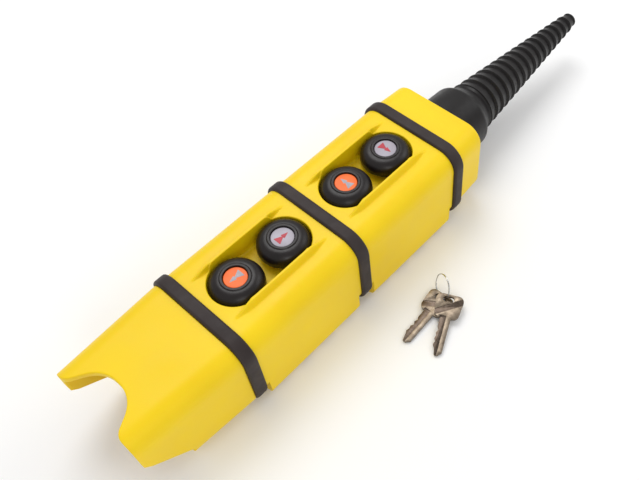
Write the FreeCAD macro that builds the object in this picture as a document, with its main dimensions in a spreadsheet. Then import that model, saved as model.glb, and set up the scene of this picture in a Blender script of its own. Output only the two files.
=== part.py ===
import FreeCAD, Part
import math
import os
import re
import Sketcher

# Pendant control station lying on its back. X runs across the housing, Y along it towards the
# cable sleeve, Z up out of the button face. The origin is on the rest plane of the back grip,
# midway between the two button modules. Millimetres.

drivingSizes = (
    # housing
    ("modulePitch", 99.0),        # one button module with its share of two seal bands
    ("bandWidth", 9.5),           # seal band, along the housing
    ("bandProud", 2.3),           # how far a band stands out of the housing
    ("frontHeight", 70.0),        # button face above the rest plane
    ("housingHalfWidth", 41.0),   # at the button face
    ("backFlare", 2.5),           # extra half width at the rest plane
    ("flangeLift", 9.0),          # back of the plain housing above the rest plane
    ("frontRadius", 14.0),        # long front corners
    ("backRadius", 13.0),         # long back corners
    ("wallThick", 3.0),
    # finger grip on the back of a module
    ("gripLength", 84.0),
    ("gripTop", 30.0),
    ("gripRadius", 9.0),
    ("scallopCount", 4.0),
    ("scallopDepth", 6.0),
    ("gripLand", 0.8),            # flat left on each ridge between two scallops
    ("gripCoreInset", 7.0),
    # button well
    ("buttonPitch", 40.0),
    ("wellRadius", 18.7),
    ("wellDepth", 11.5),
    ("wellWall", 2.5),
    ("lipHeight", 4.7),           # crest of the guard lip above the button face
    ("lipWidth", 5.4),
    ("lipInset", 2.2),            # crest from the inner wall
    ("lipStraight", 30.0),        # half length at full height
    ("lipRunout", 9.0),
    ("lipEndHeight", 0.3),
    # push button
    ("capGap", 0.9),              # round a cap, inside the well wall
    ("capRise", 4.2),             # ring crest above the button face
    ("capWall", 2.4),
    ("insertRadius", 7.7),
    ("insertThick", 2.6),
    ("insertSink", 1.0),          # insert below the ring crest
    ("headThick", 2.0),           # plunger head under the cap
    ("travel", 4.5),
    ("skirtGap", 0.6),            # skirt above the well floor when pressed home
    ("stemRadius", 6.9),
    ("stemDrop", 18.5),           # stem below the well floor
    ("runningGap", 0.1),
    ("bushWall", 4.0),            # bush between its bore and the well floor
    ("bushFlangeRim", 2.4),
    ("bushFlangeThick", 1.5),
    ("bushCollarWall", 1.4),
    ("bushCollarRise", 5.5),
    ("bushDrop", 13.0),
    ("nutRim", 3.0),              # corners of the nut beyond the bush
    ("nutThick", 4.0),
    ("springWire", 1.0),
    ("springGap", 1.7),           # between the bush collar and the coil
    ("springTurns", 2.5),
    # contact blocks on their rail
    ("railThick", 2.0),
    ("railHalfWidth", 22.0),
    ("blockHalfWidth", 15.0),
    ("blockHalfLength", 17.0),
    ("blockHeight", 23.0),
    ("blockWellDepth", 3.0),
    ("blockWellGap", 0.7),
    ("screwHeadRadius", 2.2),
    ("screwHeadThick", 1.2),
    ("screwInset", 3.4),
    # hood
    ("hoodLength", 75.75),
    ("hoodTaper", 4.4),           # half width lost over the hood
    ("hoodBackDrop", 3.0),        # hood back below the plain housing back
    ("partitionThick", 4.0),
    ("notchDepth", 20.0),
    ("notchMouthHalf", 25.0),
    ("notchArchHalf", 13.0),
    ("notchRadius", 20.0),
    ("notchCorner", 8.0),
    ("hoodBackLength", 46.5),     # from the lower band to the end of the hood back
    ("obliqueStart", 18.0),
    ("obliqueEnd", 41.0),
    ("obliqueCorner", 6.0),
    # head cap
    ("capLength", 24.5),
    ("capTaper", 1.7),
    ("capEndWall", 3.5),
    # cable sleeve
    ("axisHeight", 36.2),         # cable axis above the rest plane
    ("collarRadius", 27.0),
    ("collarLength", 37.0),
    ("collarShrink", 1.2),
    ("shoulderRadius", 3.0),
    ("ribCount", 16.0),
    ("ribPitch", 8.63),
    ("ribStart", 43.5),           # first rib crest from the cap's end face
    ("ribFirstRadius", 20.4),
    ("ribLastRadius", 7.6),
    ("ribDepth", 1.3),
    ("tipLength", 9.3),           # from the last rib crest to the tip
    ("tipRadius", 6.7),
    ("cableRadius", 4.9),
    ("cableGrip", 15.0),          # length of the plain bore at the tip
    ("neckRadius", 20.0),
    ("sleeveFlangeRadius", 24.0),
    ("sleeveFlangeThick", 3.0),
    ("sleeveBaseBore", 15.0),
    ("sleeveRingThick", 3.0),
    # cable clamp
    ("clampHalfWidth", 17.0),
    ("clampLength", 9.0),
    ("clampBarHeight", 6.0),
    ("clampGap", 1.2),
    ("clampStart", 4.0),          # from the upper band's inner edge
    ("clampScrewRadius", 2.0),
    ("clampScrewSpread", 12.0),
    # tie rods
    ("rodRadius", 2.0),
    ("rodFrontSpread", 32.5),
    ("rodBackSpread", 34.0),
    ("rodFrontDrop", 11.0),       # rod axis below the button face
    ("rodBackRise", 10.0),        # rod axis above the plain housing back
    ("rodNutRadius", 4.0),
    ("rodNutThick", 3.2),
    ("bossRadius", 4.2),
    ("bossLength", 13.0),
    ("fitGap", 0.05),
    # key switch
    ("keyAxisHeight", 39.0),
    ("bezelRim", 3.5),            # bezel beyond the barrel
    ("bezelThick", 4.0),
    ("barrelRadius", 11.0),
    ("barrelLength", 9.0),        # behind the partition
    ("keyNutRim", 3.0),           # nut beyond the barrel
    ("keyNutThick", 4.0),
    ("rotorRadius", 8.0),
    ("rotorProud", 1.0),
    ("slotHalfWidth", 1.3),
    ("slotHalfHeight", 4.6),
    ("slotDepth", 8.0),
    ("keyBlockHalf", 12.0),
    ("keyBlockThick", 8.0),
    # keys on their ring
    ("keyThick", 2.0),
    ("keyHeadHalf", 10.2),
    ("keyHeadNear", 8.3),
    ("keyHeadLength", 18.0),
    ("keyHeadCorner", 4.0),
    ("keyBladeHalf", 3.7),
    ("keyBladeLength", 27.9),
    ("keyHoleHalf", 2.2),
    ("keyHoleLength", 3.6),
    ("keyHoleInset", 3.9),        # hole centre from the head's outer edge
    ("keyHoleShift", 0.9),        # hole centre to the left of the head's middle
    ("keyTipChamfer", 2.6),
    ("bittingDepth", 1.4),
    ("bittingPitch", 4.4),
    ("ringRadius", 9.0),
    ("ringWire", 0.55),
    ("ringPlaceX", 77.4),
    ("ringPlaceY", 41.0),
    ("ringRest", 0.05),           # gap under the ring
    ("ringTurn", 151.5),
    ("ringLean", 107.7),          # past upright
    ("keyTipRest", 0.1),          # gap under a key's tip
    ("keyUnderX", 80.6),
    ("keyUnderY", 35.8),
    ("keyUnderTurn", 2.0),
    ("keyUnderLift", 1.55),       # the lower key's head rides on the ring
    ("keyOverX", 87.3),
    ("keyOverY", 37.4),
    ("keyOverTurn", 25.0),
    ("keyOverRise", 1.4),         # upper key's head above the lower key, at its hole
)

doc = FreeCAD.newDocument("PendantStation")
sizes = doc.addObject("Spreadsheet::Sheet", "Sizes")
for row, (alias, amount) in enumerate(drivingSizes, start=1):
    sizes.set("A%d" % row, alias)
    sizes.set("B%d" % row, str(amount))
    sizes.setAlias("B%d" % row, alias)
doc.recompute()

aliasNames = sorted((alias for alias, amount in drivingSizes), key=len, reverse=True)
aliasPattern = re.compile(r"\b(" + "|".join(aliasNames) + r")\b")

# places that several pieces share, as expressions
bandEdge = "(modulePitch + bandWidth / 2)"
hoodEnd = "(modulePitch + bandWidth / 2 + hoodLength)"
capEnd = "(modulePitch + bandWidth / 2 + capLength)"
gripTopHalf = "(housingHalfWidth + backFlare * (frontHeight - gripTop) / frontHeight)"
hoodBack = "(flangeLift - hoodBackDrop)"
wellFloor = "(frontHeight - wellDepth)"
innerBack = "(flangeLift + wallThick)"
capRadius = "(wellRadius - capGap)"
stemBore = "(stemRadius + runningGap)"
bushRadius = "(stemRadius + runningGap + bushWall)"
collarRadius = "(stemRadius + runningGap + bushCollarWall)"
ringCrest = "(frontHeight + capRise)"
insertTop = "(frontHeight + capRise - insertSink)"
headTop = "(frontHeight + capRise - insertSink - insertThick)"
skirtFoot = "(frontHeight - wellDepth + travel + skirtGap)"
blockTop = "(flangeLift + wallThick + railThick + blockHeight)"
partitionBack = "(modulePitch + bandWidth / 2 + partitionThick)"
scallopPitch = "(gripLength / scallopCount)"
scallopChord = "(gripLength / scallopCount - gripLand)"
scallopRadius = "((%s ^ 2 / 4 + scallopDepth ^ 2) / (2 * scallopDepth))" % scallopChord


def bound(expression):
    return aliasPattern.sub(r"Sizes.\1", str(expression))


def number(expression):
    return float(sizes.evalExpression(bound(expression)))


def minus(expression):
    return "-(%s)" % expression


# ---------------------------------------------------------------- modelling helpers

def newBody(label):
    body = doc.addObject("PartDesign::Body", label)
    body.Label = label
    return body


def placeBody(body, x="0", y="0", z="0"):
    for axis, expression in (("x", x), ("y", y), ("z", z)):
        if expression != "0":
            body.setExpression("Placement.Base." + axis, bound(expression))


def originItem(body, role):
    return [item for item in body.Origin.OriginFeatures if item.Role == role][0]


def newSketch(body, role, offset="0"):
    sketch = body.newObject("Sketcher::SketchObject", body.Name + "_sketch")
    sketch.AttachmentSupport = [(originItem(body, role), "")]
    sketch.MapMode = "FlatFace"
    if offset != "0":
        sketch.setExpression("AttachmentOffset.Base.z", bound(offset))
    return sketch


def pin(sketch, kind, geometry, point, expression):
    constraint = Sketcher.Constraint(kind, -1, 1, geometry, point, number(expression))
    index = sketch.addConstraint(constraint)
    sketch.setExpression("Constraints[%d]" % index, bound(expression))


def cornerArc(place, before, after, reach):
    # the round between the side that comes from before and the side that leaves towards after
    halfTurn = before.getAngle(after) / 2
    setback = reach / math.tan(halfTurn)
    centre = place + (before + after).normalize() * (reach / math.sin(halfTurn))
    arriving = place + before * setback
    leaving = place + after * setback
    startAngle, endAngle = [math.atan2(spot.y - centre.y, spot.x - centre.x) for spot in (arriving, leaving)]
    forwards = (endAngle - startAngle) % (2 * math.pi) < math.pi
    angles = (startAngle, endAngle) if forwards else (endAngle, startAngle)
    circle = Part.Circle(centre, FreeCAD.Vector(0, 0, 1), reach)
    return arriving, leaving, Part.ArcOfCircle(circle, angles[0], angles[1]), forwards


def addOutline(sketch, corners, radii=None):
    # straight sides between the corners; a corner with a radius gets a tangent arc
    count = len(corners)
    rounds = radii or ["0"] * count
    places = [FreeCAD.Vector(number(x), number(y), 0) for x, y in corners]
    turns = []
    for index, place in enumerate(places):
        before = (places[index - 1] - place).normalize()
        after = (places[(index + 1) % count] - place).normalize()
        if rounds[index] == "0":
            turns.append((place, place, None, True))
        else:
            turns.append(cornerArc(place, before, after, number(rounds[index])))
    lines = []
    for index in range(count):
        side = Part.LineSegment(turns[index][1], turns[(index + 1) % count][0])
        lines.append(sketch.addGeometry(side, False))
    for index, (x, y) in enumerate(corners):
        previous = lines[index - 1]
        following = lines[index]
        arc = turns[index][2]
        if arc is None:
            sketch.addConstraint(Sketcher.Constraint("Coincident", previous, 2, following, 1))
            pin(sketch, "DistanceX", following, 1, x)
            pin(sketch, "DistanceY", following, 1, y)
            continue
        corner = sketch.addGeometry(Part.Point(places[index]), True)
        pin(sketch, "DistanceX", corner, 1, x)
        pin(sketch, "DistanceY", corner, 1, y)
        sketch.addConstraint(Sketcher.Constraint("PointOnObject", corner, 1, previous))
        sketch.addConstraint(Sketcher.Constraint("PointOnObject", corner, 1, following))
        rounded = sketch.addGeometry(arc, False)
        firstEnd, lastEnd = (1, 2) if turns[index][3] else (2, 1)
        sketch.addConstraint(Sketcher.Constraint("Tangent", previous, 2, rounded, firstEnd))
        sketch.addConstraint(Sketcher.Constraint("Tangent", following, 1, rounded, lastEnd))
        radius = Sketcher.Constraint("Radius", rounded, number(rounds[index]))
        place = sketch.addConstraint(radius)
        sketch.setExpression("Constraints[%d]" % place, bound(rounds[index]))


def addCircle(sketch, x, y, radius):
    centre = FreeCAD.Vector(number(x), number(y), 0)
    circle = Part.Circle(centre, FreeCAD.Vector(0, 0, 1), number(radius))
    geometry = sketch.addGeometry(circle, False)
    index = sketch.addConstraint(Sketcher.Constraint("Radius", geometry, number(radius)))
    sketch.setExpression("Constraints[%d]" % index, bound(radius))
    pin(sketch, "DistanceX", geometry, 3, x)
    pin(sketch, "DistanceY", geometry, 3, y)


def addSlot(sketch, x, y, halfLength, radius, across=False):
    # an obround along the sketch's own y, or across it: two end arcs joined by two straight sides
    reach = number(radius)
    normal = FreeCAD.Vector(0, 0, 1)
    run = FreeCAD.Vector(number(halfLength), 0, 0) if across else FreeCAD.Vector(0, number(halfLength), 0)
    side = FreeCAD.Vector(0, -reach, 0) if across else FreeCAD.Vector(reach, 0, 0)
    start = -math.pi / 2 if across else 0
    centre = FreeCAD.Vector(number(x), number(y), 0)
    upper = centre + run
    lower = centre - run
    topArc = Part.ArcOfCircle(Part.Circle(upper, normal, reach), start, start + math.pi)
    top = sketch.addGeometry(topArc, False)
    left = sketch.addGeometry(Part.LineSegment(upper - side, lower - side), False)
    bottomArc = Part.ArcOfCircle(Part.Circle(lower, normal, reach), start + math.pi, start + 2 * math.pi)
    bottom = sketch.addGeometry(bottomArc, False)
    right = sketch.addGeometry(Part.LineSegment(lower + side, upper + side), False)
    for one, onePoint, other, otherPoint in ((top, 2, left, 1), (left, 2, bottom, 1),
                                             (bottom, 2, right, 1), (right, 2, top, 1)):
        sketch.addConstraint(Sketcher.Constraint("Tangent", one, onePoint, other, otherPoint))
    index = sketch.addConstraint(Sketcher.Constraint("Radius", top, reach))
    sketch.setExpression("Constraints[%d]" % index, bound(radius))
    lengthwise, crosswise = ("DistanceX", "DistanceY") if across else ("DistanceY", "DistanceX")
    middle, level = (x, y) if across else (y, x)
    pin(sketch, crosswise, top, 3, level)
    pin(sketch, lengthwise, top, 3, "%s + %s" % (middle, halfLength))
    pin(sketch, crosswise, bottom, 3, level)
    pin(sketch, lengthwise, bottom, 3, "%s - (%s)" % (middle, halfLength))


def addFeature(body, kind, sketch, length=None, midplane=False, backwards=False, through=False):
    feature = body.newObject("PartDesign::" + kind, body.Name + "_" + kind.lower())
    feature.Profile = sketch
    if midplane:
        feature.Midplane = True
    if backwards:
        feature.Reversed = True
    if through:
        feature.Type = "ThroughAll"
    else:
        feature.setExpression("Length", bound(length))
    body.Tip = feature
    doc.recompute()
    return feature


def addLoft(body, kind, sketches, ruled=True):
    feature = body.newObject("PartDesign::" + kind, body.Name + "_loft")
    feature.Profile = sketches[0]
    feature.Sections = list(sketches[1:])
    feature.Ruled = ruled
    body.Tip = feature
    doc.recompute()
    return feature


def addTurned(body, kind, sketch):
    feature = body.newObject("PartDesign::" + kind, body.Name + "_turned")
    feature.Profile = sketch
    feature.ReferenceAxis = (sketch, ["V_Axis"])
    feature.Angle = 360
    body.Tip = feature
    doc.recompute()
    return feature


def addRounding(body, wanted, radius, kind="Fillet"):
    base = body.Tip
    edges = ["Edge%d" % (index + 1) for index, edge in enumerate(base.Shape.Edges) if wanted(edge)]
    if not edges:
        raise RuntimeError("no edge to round on " + body.Label)
    feature = body.newObject("PartDesign::" + kind, body.Name + "_" + kind.lower())
    feature.Base = (base, edges)
    feature.setExpression("Radius" if kind == "Fillet" else "Size", bound(radius))
    body.Tip = feature
    doc.recompute()
    return feature


def runsAlong(edge, axis, slope=0.15):
    if edge.Curve.TypeId != "Part::GeomLine":
        return False
    start = edge.Vertexes[0].Point
    end = edge.Vertexes[-1].Point
    span = end - start
    if span.Length == 0:
        return False
    return abs(span.dot(axis)) / span.Length > 1 - slope * slope


alongX = FreeCAD.Vector(1, 0, 0)
alongY = FreeCAD.Vector(0, 1, 0)
alongZ = FreeCAD.Vector(0, 0, 1)


def trapezoid(frontHalf, frontZ, backHalf, backZ):
    return ((minus(frontHalf), frontZ), (frontHalf, frontZ), (backHalf, backZ), (minus(backHalf), backZ))


def addShellOutline(sketch, offset, narrower="0", back="flangeLift"):
    # the housing's cross-section, moved out (or in, if negative) by offset
    flare = "backFlare * (frontHeight - %s) / frontHeight" % back
    front = "(housingHalfWidth - %s + %s)" % (narrower, offset)
    rear = "(housingHalfWidth + %s - %s + %s)" % (flare, narrower, offset)
    corners = trapezoid(front, "(frontHeight + %s)" % offset, rear, "(%s - (%s))" % (back, offset))
    frontRound = "(frontRadius + %s)" % offset
    backRound = "(backRadius + %s)" % offset
    addOutline(sketch, corners, (frontRound, frontRound, backRound, backRound))


# ---------------------------------------------------------------- housing

def makeModule(label, centre):
    body = newBody(label)
    placeBody(body, y=centre)
    length = "(modulePitch - bandWidth)"
    sketch = newSketch(body, "XZ_Plane")
    addShellOutline(sketch, "0")
    addFeature(body, "Pad", sketch, length, midplane=True)
    # finger grip, wider than it is deep, on the back
    sketch = newSketch(body, "XZ_Plane")
    gripHalf = "(housingHalfWidth + backFlare)"
    corners = trapezoid(gripTopHalf, "gripTop", gripHalf, "0")
    addOutline(sketch, corners, ("0", "0", "gripRadius", "gripRadius"))
    addFeature(body, "Pad", sketch, "gripLength", midplane=True)
    sketch = newSketch(body, "YZ_Plane")
    firstScallop = "(-gripLength / 2 + %s / 2)" % scallopPitch
    addCircle(sketch, firstScallop, "(scallopDepth - %s)" % scallopRadius, scallopRadius)
    scallop = addFeature(body, "Pocket", sketch, "4 * housingHalfWidth", midplane=True)
    pattern = body.newObject("PartDesign::LinearPattern", body.Name + "_scallops")
    pattern.Originals = [scallop]
    pattern.Direction = (originItem(body, "Y_Axis"), [""])
    pattern.setExpression("Length", bound("(gripLength - %s)" % scallopPitch))
    pattern.Occurrences = int(number("scallopCount"))
    body.Tip = pattern
    doc.recompute()
    # the cavity runs right through, and a shallow core lightens the grip
    sketch = newSketch(body, "XZ_Plane")
    addShellOutline(sketch, "-wallThick")
    addFeature(body, "Pocket", sketch, "2 * modulePitch", midplane=True)
    sketch = newSketch(body, "XY_Plane", "(%s + 1)" % innerBack)
    coreX = "(housingHalfWidth - gripCoreInset)"
    coreY = "(gripLength / 2 - gripCoreInset + wallThick)"
    addOutline(sketch, ((minus(coreX), minus(coreY)), (coreX, minus(coreY)), (coreX, coreY),
                        (minus(coreX), coreY)))
    addFeature(body, "Pocket", sketch, "(%s + 1 - scallopDepth - wallThick)" % innerBack)
    # button well: a tub hung from the front wall, with a guard lip along each side
    sketch = newSketch(body, "XY_Plane", "(%s - wellWall)" % wellFloor)
    addSlot(sketch, "0", "0", "buttonPitch / 2", "wellRadius + wellWall")
    addFeature(body, "Pad", sketch, "wellDepth + wellWall - wallThick / 2")
    stations = (("(-lipStraight - lipRunout)", "lipEndHeight"), ("(-lipStraight)", "lipHeight"),
                ("lipStraight", "lipHeight"), ("(lipStraight + lipRunout)", "lipEndHeight"))
    for side in ("", "-"):
        sections = []
        for place, height in stations:
            sketch = newSketch(body, "XZ_Plane", minus(place))
            root = "(frontHeight - wallThick / 2)"
            crest = "(frontHeight + %s)" % height
            corners = [("wellRadius", root), ("wellRadius", "(%s - %s / 6)" % (crest, height)),
                       ("(wellRadius + lipInset * 2 / 3)", crest),
                       ("(wellRadius + lipInset * 3 / 2)", "(%s - %s / 8)" % (crest, height)),
                       ("(wellRadius + lipWidth)", "(frontHeight)"),
                       ("(wellRadius + lipWidth)", root)]
            addOutline(sketch, [(side + x if side else x, z) for x, z in corners])
            sections.append(sketch)
        addLoft(body, "AdditiveLoft", sections)
    sketch = newSketch(body, "XY_Plane", "(frontHeight + 2 * lipHeight)")
    addSlot(sketch, "0", "0", "buttonPitch / 2", "wellRadius")
    addFeature(body, "Pocket", sketch, "2 * lipHeight + wellDepth")
    sketch = newSketch(body, "XY_Plane", wellFloor)
    for y in ("(-buttonPitch / 2)", "(buttonPitch / 2)"):
        addCircle(sketch, "0", y, bushRadius + " + fitGap")
    addFeature(body, "Pocket", sketch, "2 * wellWall")
    return body


def makeBand(label, centre):
    body = newBody(label)
    placeBody(body, y=centre)
    sketch = newSketch(body, "XZ_Plane")
    addShellOutline(sketch, "bandProud")
    addFeature(body, "Pad", sketch, "bandWidth", midplane=True)
    half = number("bandWidth") / 2

    def rim(edge):
        return abs(abs(edge.CenterOfMass.y) - half) < 0.01

    addRounding(body, rim, "bandProud * 0.85")
    sketch = newSketch(body, "XZ_Plane")
    addShellOutline(sketch, "-wallThick")
    addFeature(body, "Pocket", sketch, "2 * bandWidth", midplane=True)
    return body


def shellLoft(body, kind, stations, offset, back):
    # a tapered length of housing between stations of (Y, half width lost)
    sections = []
    for place, narrower in stations:
        sketch = newSketch(body, "XZ_Plane", minus(place))
        addShellOutline(sketch, offset, narrower, back)
        sections.append(sketch)
    return addLoft(body, kind, sections)


def rodPlaces():
    return (("rodFrontSpread", "(frontHeight - rodFrontDrop)"),
            ("(-rodFrontSpread)", "(frontHeight - rodFrontDrop)"),
            ("rodBackSpread", "(flangeLift + rodBackRise)"),
            ("(-rodBackSpread)", "(flangeLift + rodBackRise)"))


def makeHood():
    body = newBody("hood")
    outer = ((minus(bandEdge), "0"), (minus(hoodEnd), "hoodTaper"))
    shellLoft(body, "AdditiveLoft", outer, "0", hoodBack)
    share = "(hoodTaper * partitionThick / hoodLength)"
    beyond = "(%s + 1)" % hoodEnd
    inner = ((minus(partitionBack), share), (minus(beyond), "(hoodTaper + hoodTaper / hoodLength)"))
    shellLoft(body, "SubtractiveLoft", inner, "-wallThick", hoodBack)
    # partition: key switch and tie rod holes
    sketch = newSketch(body, "XZ_Plane", bandEdge)
    addCircle(sketch, "0", "keyAxisHeight", "barrelRadius + fitGap")
    for x, z in rodPlaces():
        addCircle(sketch, x, z, "rodRadius + fitGap")
    addFeature(body, "Pocket", sketch, "2 * partitionThick", backwards=True)
    # the back stops short and the sides are cut obliquely up to the end
    sketch = newSketch(body, "YZ_Plane")
    backEnd = "(-%s - hoodBackLength)" % bandEdge
    run = "(hoodLength - hoodBackLength)"
    slope = "((obliqueEnd - obliqueStart) / %s)" % run
    addOutline(sketch, ((backEnd, "-10"), (backEnd, "obliqueStart"),
                        ("(-%s - 10)" % hoodEnd, "(obliqueEnd + 10 * %s)" % slope),
                        ("(-%s - 10)" % hoodEnd, "-10")))
    addFeature(body, "Pocket", sketch, "4 * housingHalfWidth", midplane=True)

    def at(edge, y, z):
        centre = edge.CenterOfMass
        near = abs(centre.y - number(y)) < 0.5 and abs(centre.z - number(z)) < 0.5
        return near and runsAlong(edge, alongX)

    addRounding(body, lambda edge: at(edge, minus(hoodEnd), "obliqueEnd"), "obliqueCorner")
    # thumb notch in the front plate: splayed sides, a round arch and soft mouth corners
    sketch = newSketch(body, "XY_Plane", "(frontHeight + 5)")
    lip = minus(hoodEnd)
    outside = "(-%s - 10)" % hoodEnd
    arch = "(notchDepth - %s)" % hoodEnd
    wide = "(notchMouthHalf + notchCorner)"
    corners = ((minus(wide), outside), (wide, outside), (wide, lip), ("notchMouthHalf", lip),
               ("notchArchHalf", arch), ("(-notchArchHalf)", arch), ("(-notchMouthHalf)", lip),
               (minus(wide), lip))
    addOutline(sketch, corners, ("0", "0", "0", "notchCorner", "notchRadius", "notchRadius",
                                 "notchCorner", "0"))
    addFeature(body, "Pocket", sketch, "5 + 3 * wallThick")
    return body


def makeHeadCap():
    body = newBody("head_cap")
    outer = ((bandEdge, "0"), (capEnd, "capTaper"))
    shellLoft(body, "AdditiveLoft", outer, "0", "flangeLift")
    inner = (("(%s - 1)" % bandEdge, "(-capTaper / capLength)"),
             ("(%s - capEndWall)" % capEnd, "(capTaper - capTaper * capEndWall / capLength)"))
    shellLoft(body, "SubtractiveLoft", inner, "-wallThick", "flangeLift")
    # bosses for the tie rods, standing on the end wall
    sketch = newSketch(body, "XZ_Plane", minus("(%s - 1)" % capEnd))
    for x, z in rodPlaces():
        addCircle(sketch, x, z, "bossRadius")
    addFeature(body, "Pad", sketch, "bossLength + capEndWall - 1")
    sketch = newSketch(body, "XZ_Plane", minus("(%s - 2 * capEndWall - bossLength)" % capEnd))
    for x, z in rodPlaces():
        addCircle(sketch, x, z, "rodRadius + fitGap")
    addFeature(body, "Pocket", sketch, "capEndWall + bossLength")
    sketch = newSketch(body, "XZ_Plane", minus("(%s + 1)" % capEnd))
    addCircle(sketch, "0", "axisHeight", "neckRadius + fitGap")
    addFeature(body, "Pocket", sketch, "2 * capEndWall", backwards=True)
    return body


# ---------------------------------------------------------------- push buttons

def turnedBody(label, corners, radii=None, centre="0"):
    # a piece turned about a vertical axis from its half outline (radius, height)
    body = newBody(label)
    placeBody(body, y=centre)
    sketch = newSketch(body, "XZ_Plane")
    addOutline(sketch, corners, radii)
    addTurned(body, "Revolution", sketch)
    return body


def ringOutline(inner, outer, low, high):
    return ((inner, low), (outer, low), (outer, high), (inner, high))


def makeCap(label, centre):
    shoulder = "(%s - capRise)" % capRadius
    hollow = "(%s - capWall)" % capRadius
    brow = "(insertRadius + capWall)"
    corners = ((hollow, skirtFoot), (capRadius, skirtFoot), (capRadius, "(frontHeight - capRise / 2)"),
               (shoulder, "(%s - capRise / 8)" % ringCrest), (brow, ringCrest),
               ("(insertRadius + fitGap)", "(%s - insertSink / 4)" % ringCrest),
               ("(insertRadius + fitGap)", headTop), (hollow, headTop))
    radii = ("0", "0", "capRise", "(capRise * 0.6)", "(capWall / 3)", "0", "0", "0")
    return turnedBody(label, corners, radii, centre)


def makePlunger(label, centre):
    stemFoot = "(%s - stemDrop)" % wellFloor
    headRadius = "(%s - capWall - fitGap)" % capRadius
    headFoot = "(%s - headThick)" % headTop
    corners = (("0", stemFoot), ("(stemRadius - 1)", stemFoot), ("stemRadius", "(%s + 1)" % stemFoot),
               ("stemRadius", headFoot), (headRadius, headFoot), (headRadius, headTop), ("0", headTop))
    return turnedBody(label, corners, None, centre)


def makeBush(label, centre):
    flangeRadius = "(%s + bushFlangeRim)" % bushRadius
    foot = "(%s - bushDrop)" % wellFloor
    flangeTop = "(%s + bushFlangeThick)" % wellFloor
    collarTop = "(%s + bushCollarRise)" % wellFloor
    corners = ((stemBore, foot), (bushRadius, foot), (bushRadius, wellFloor),
               (flangeRadius, wellFloor), (flangeRadius, flangeTop),
               (collarRadius, flangeTop), (collarRadius, collarTop), (stemBore, collarTop))
    return turnedBody(label, corners, None, centre)


def makeNut(label, centre):
    # hexagonal ring nut drawn up under the well floor
    body = newBody(label)
    placeBody(body, y=centre)
    sketch = newSketch(body, "XY_Plane", "(%s - wellWall - nutThick)" % wellFloor)
    reach = "(%s + nutRim)" % bushRadius
    corners = []
    for index in range(6):
        turn = math.radians(60 * index)
        corners.append(("(%s * %.6f)" % (reach, math.cos(turn)), "(%s * %.6f)" % (reach, math.sin(turn))))
    addOutline(sketch, corners)
    addCircle(sketch, "0", "0", "(%s + fitGap)" % bushRadius)
    addFeature(body, "Pad", sketch, "nutThick")
    return body


def makeSpring(label, centre):
    # round wire coil between the bush flange and the underside of the plunger head
    wire = number("springWire") / 2
    low = number("%s + bushFlangeThick" % wellFloor) + wire + number("fitGap")
    high = number("%s - headThick" % headTop) - wire - number("fitGap")
    radius = number("%s + springGap + springWire / 2" % collarRadius)
    helix = Part.makeHelix((high - low) / number("springTurns"), high - low, radius)
    section = Part.Wire([Part.makeCircle(wire, FreeCAD.Vector(radius, 0, 0), alongY)])
    coil = Part.Wire(helix.Edges).makePipeShell([section], True, True)
    feature = doc.addObject("Part::Feature", label)
    feature.Label = label
    feature.Shape = coil
    feature.Placement = FreeCAD.Placement(FreeCAD.Vector(0, number(centre), low), FreeCAD.Rotation())
    return feature


def makeContacts(label, centre):
    # double-step contact block standing on the rail, with a well that the stem enters
    body = newBody(label)
    placeBody(body, y=centre)
    base = "(%s - blockHeight)" % blockTop
    sketch = newSketch(body, "XY_Plane", base)
    half = "blockHalfWidth"
    length = "blockHalfLength"
    addOutline(sketch, ((minus(half), minus(length)), (half, minus(length)), (half, length),
                        (minus(half), length)), ["1"] * 4)
    addFeature(body, "Pad", sketch, "blockHeight")
    sketch = newSketch(body, "XY_Plane", "(%s + 1)" % blockTop)
    addCircle(sketch, "0", "0", "stemRadius + blockWellGap")
    addFeature(body, "Pocket", sketch, "blockWellDepth + 1")
    # two cross slots part the three decks of the block
    for share in ("1 / 3", "2 / 3"):
        sketch = newSketch(body, "YZ_Plane")
        level = "(%s + blockHeight * %s)" % (base, share)
        for side in ("", "-"):
            edge = "(%s(%s + 1))" % (side, length)
            depth = "(%s(%s - 1))" % (side, length)
            addOutline(sketch, ((depth, level), (edge, level), (edge, "(%s + 0.8)" % level),
                                (depth, "(%s + 0.8)" % level)))
        addFeature(body, "Pocket", sketch, "4 * blockHalfWidth", midplane=True)
    return body


def makeRail(label, centre):
    body = newBody(label)
    placeBody(body, y=centre)
    sketch = newSketch(body, "XY_Plane", innerBack)
    half = "railHalfWidth"
    length = "((modulePitch - bandWidth) / 2 - 1)"
    addOutline(sketch, ((minus(half), minus(length)), (half, minus(length)), (half, length),
                        (minus(half), length)), ["2"] * 4)
    addFeature(body, "Pad", sketch, "railThick")
    return body


def groupOf(label, solids):
    feature = doc.addObject("Part::Feature", label)
    feature.Label = label
    feature.Shape = Part.makeCompound(solids)
    return feature


def makeTerminalScrews(centres):
    solids = []
    radius = number("screwHeadRadius")
    thick = number("screwHeadThick")
    spanX = number("blockHalfWidth - screwInset")
    spanY = number("blockHalfLength - screwInset")
    for centre in centres:
        for x in (-spanX, spanX):
            for y in (-spanY, spanY):
                place = FreeCAD.Vector(x, number(centre) + y, number(blockTop))
                head = Part.makeCylinder(radius, thick, place)
                slot = Part.makeBox(2 * radius, radius / 3, thick / 2,
                                    place + FreeCAD.Vector(-radius, -radius / 6, thick / 2))
                solids.append(head.cut(slot))
    return groupOf("terminal_screws", solids)


# ---------------------------------------------------------------- tie rods

def makeTieRods():
    solids = []
    start = -number(partitionBack) - number("rodNutThick") - 2
    end = number("%s - capEndWall" % capEnd)
    for x, z in rodPlaces():
        place = FreeCAD.Vector(number(x), start, number(z))
        solids.append(Part.makeCylinder(number("rodRadius"), end - start, place, alongY))
    return groupOf("tie_rods", solids)


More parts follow.
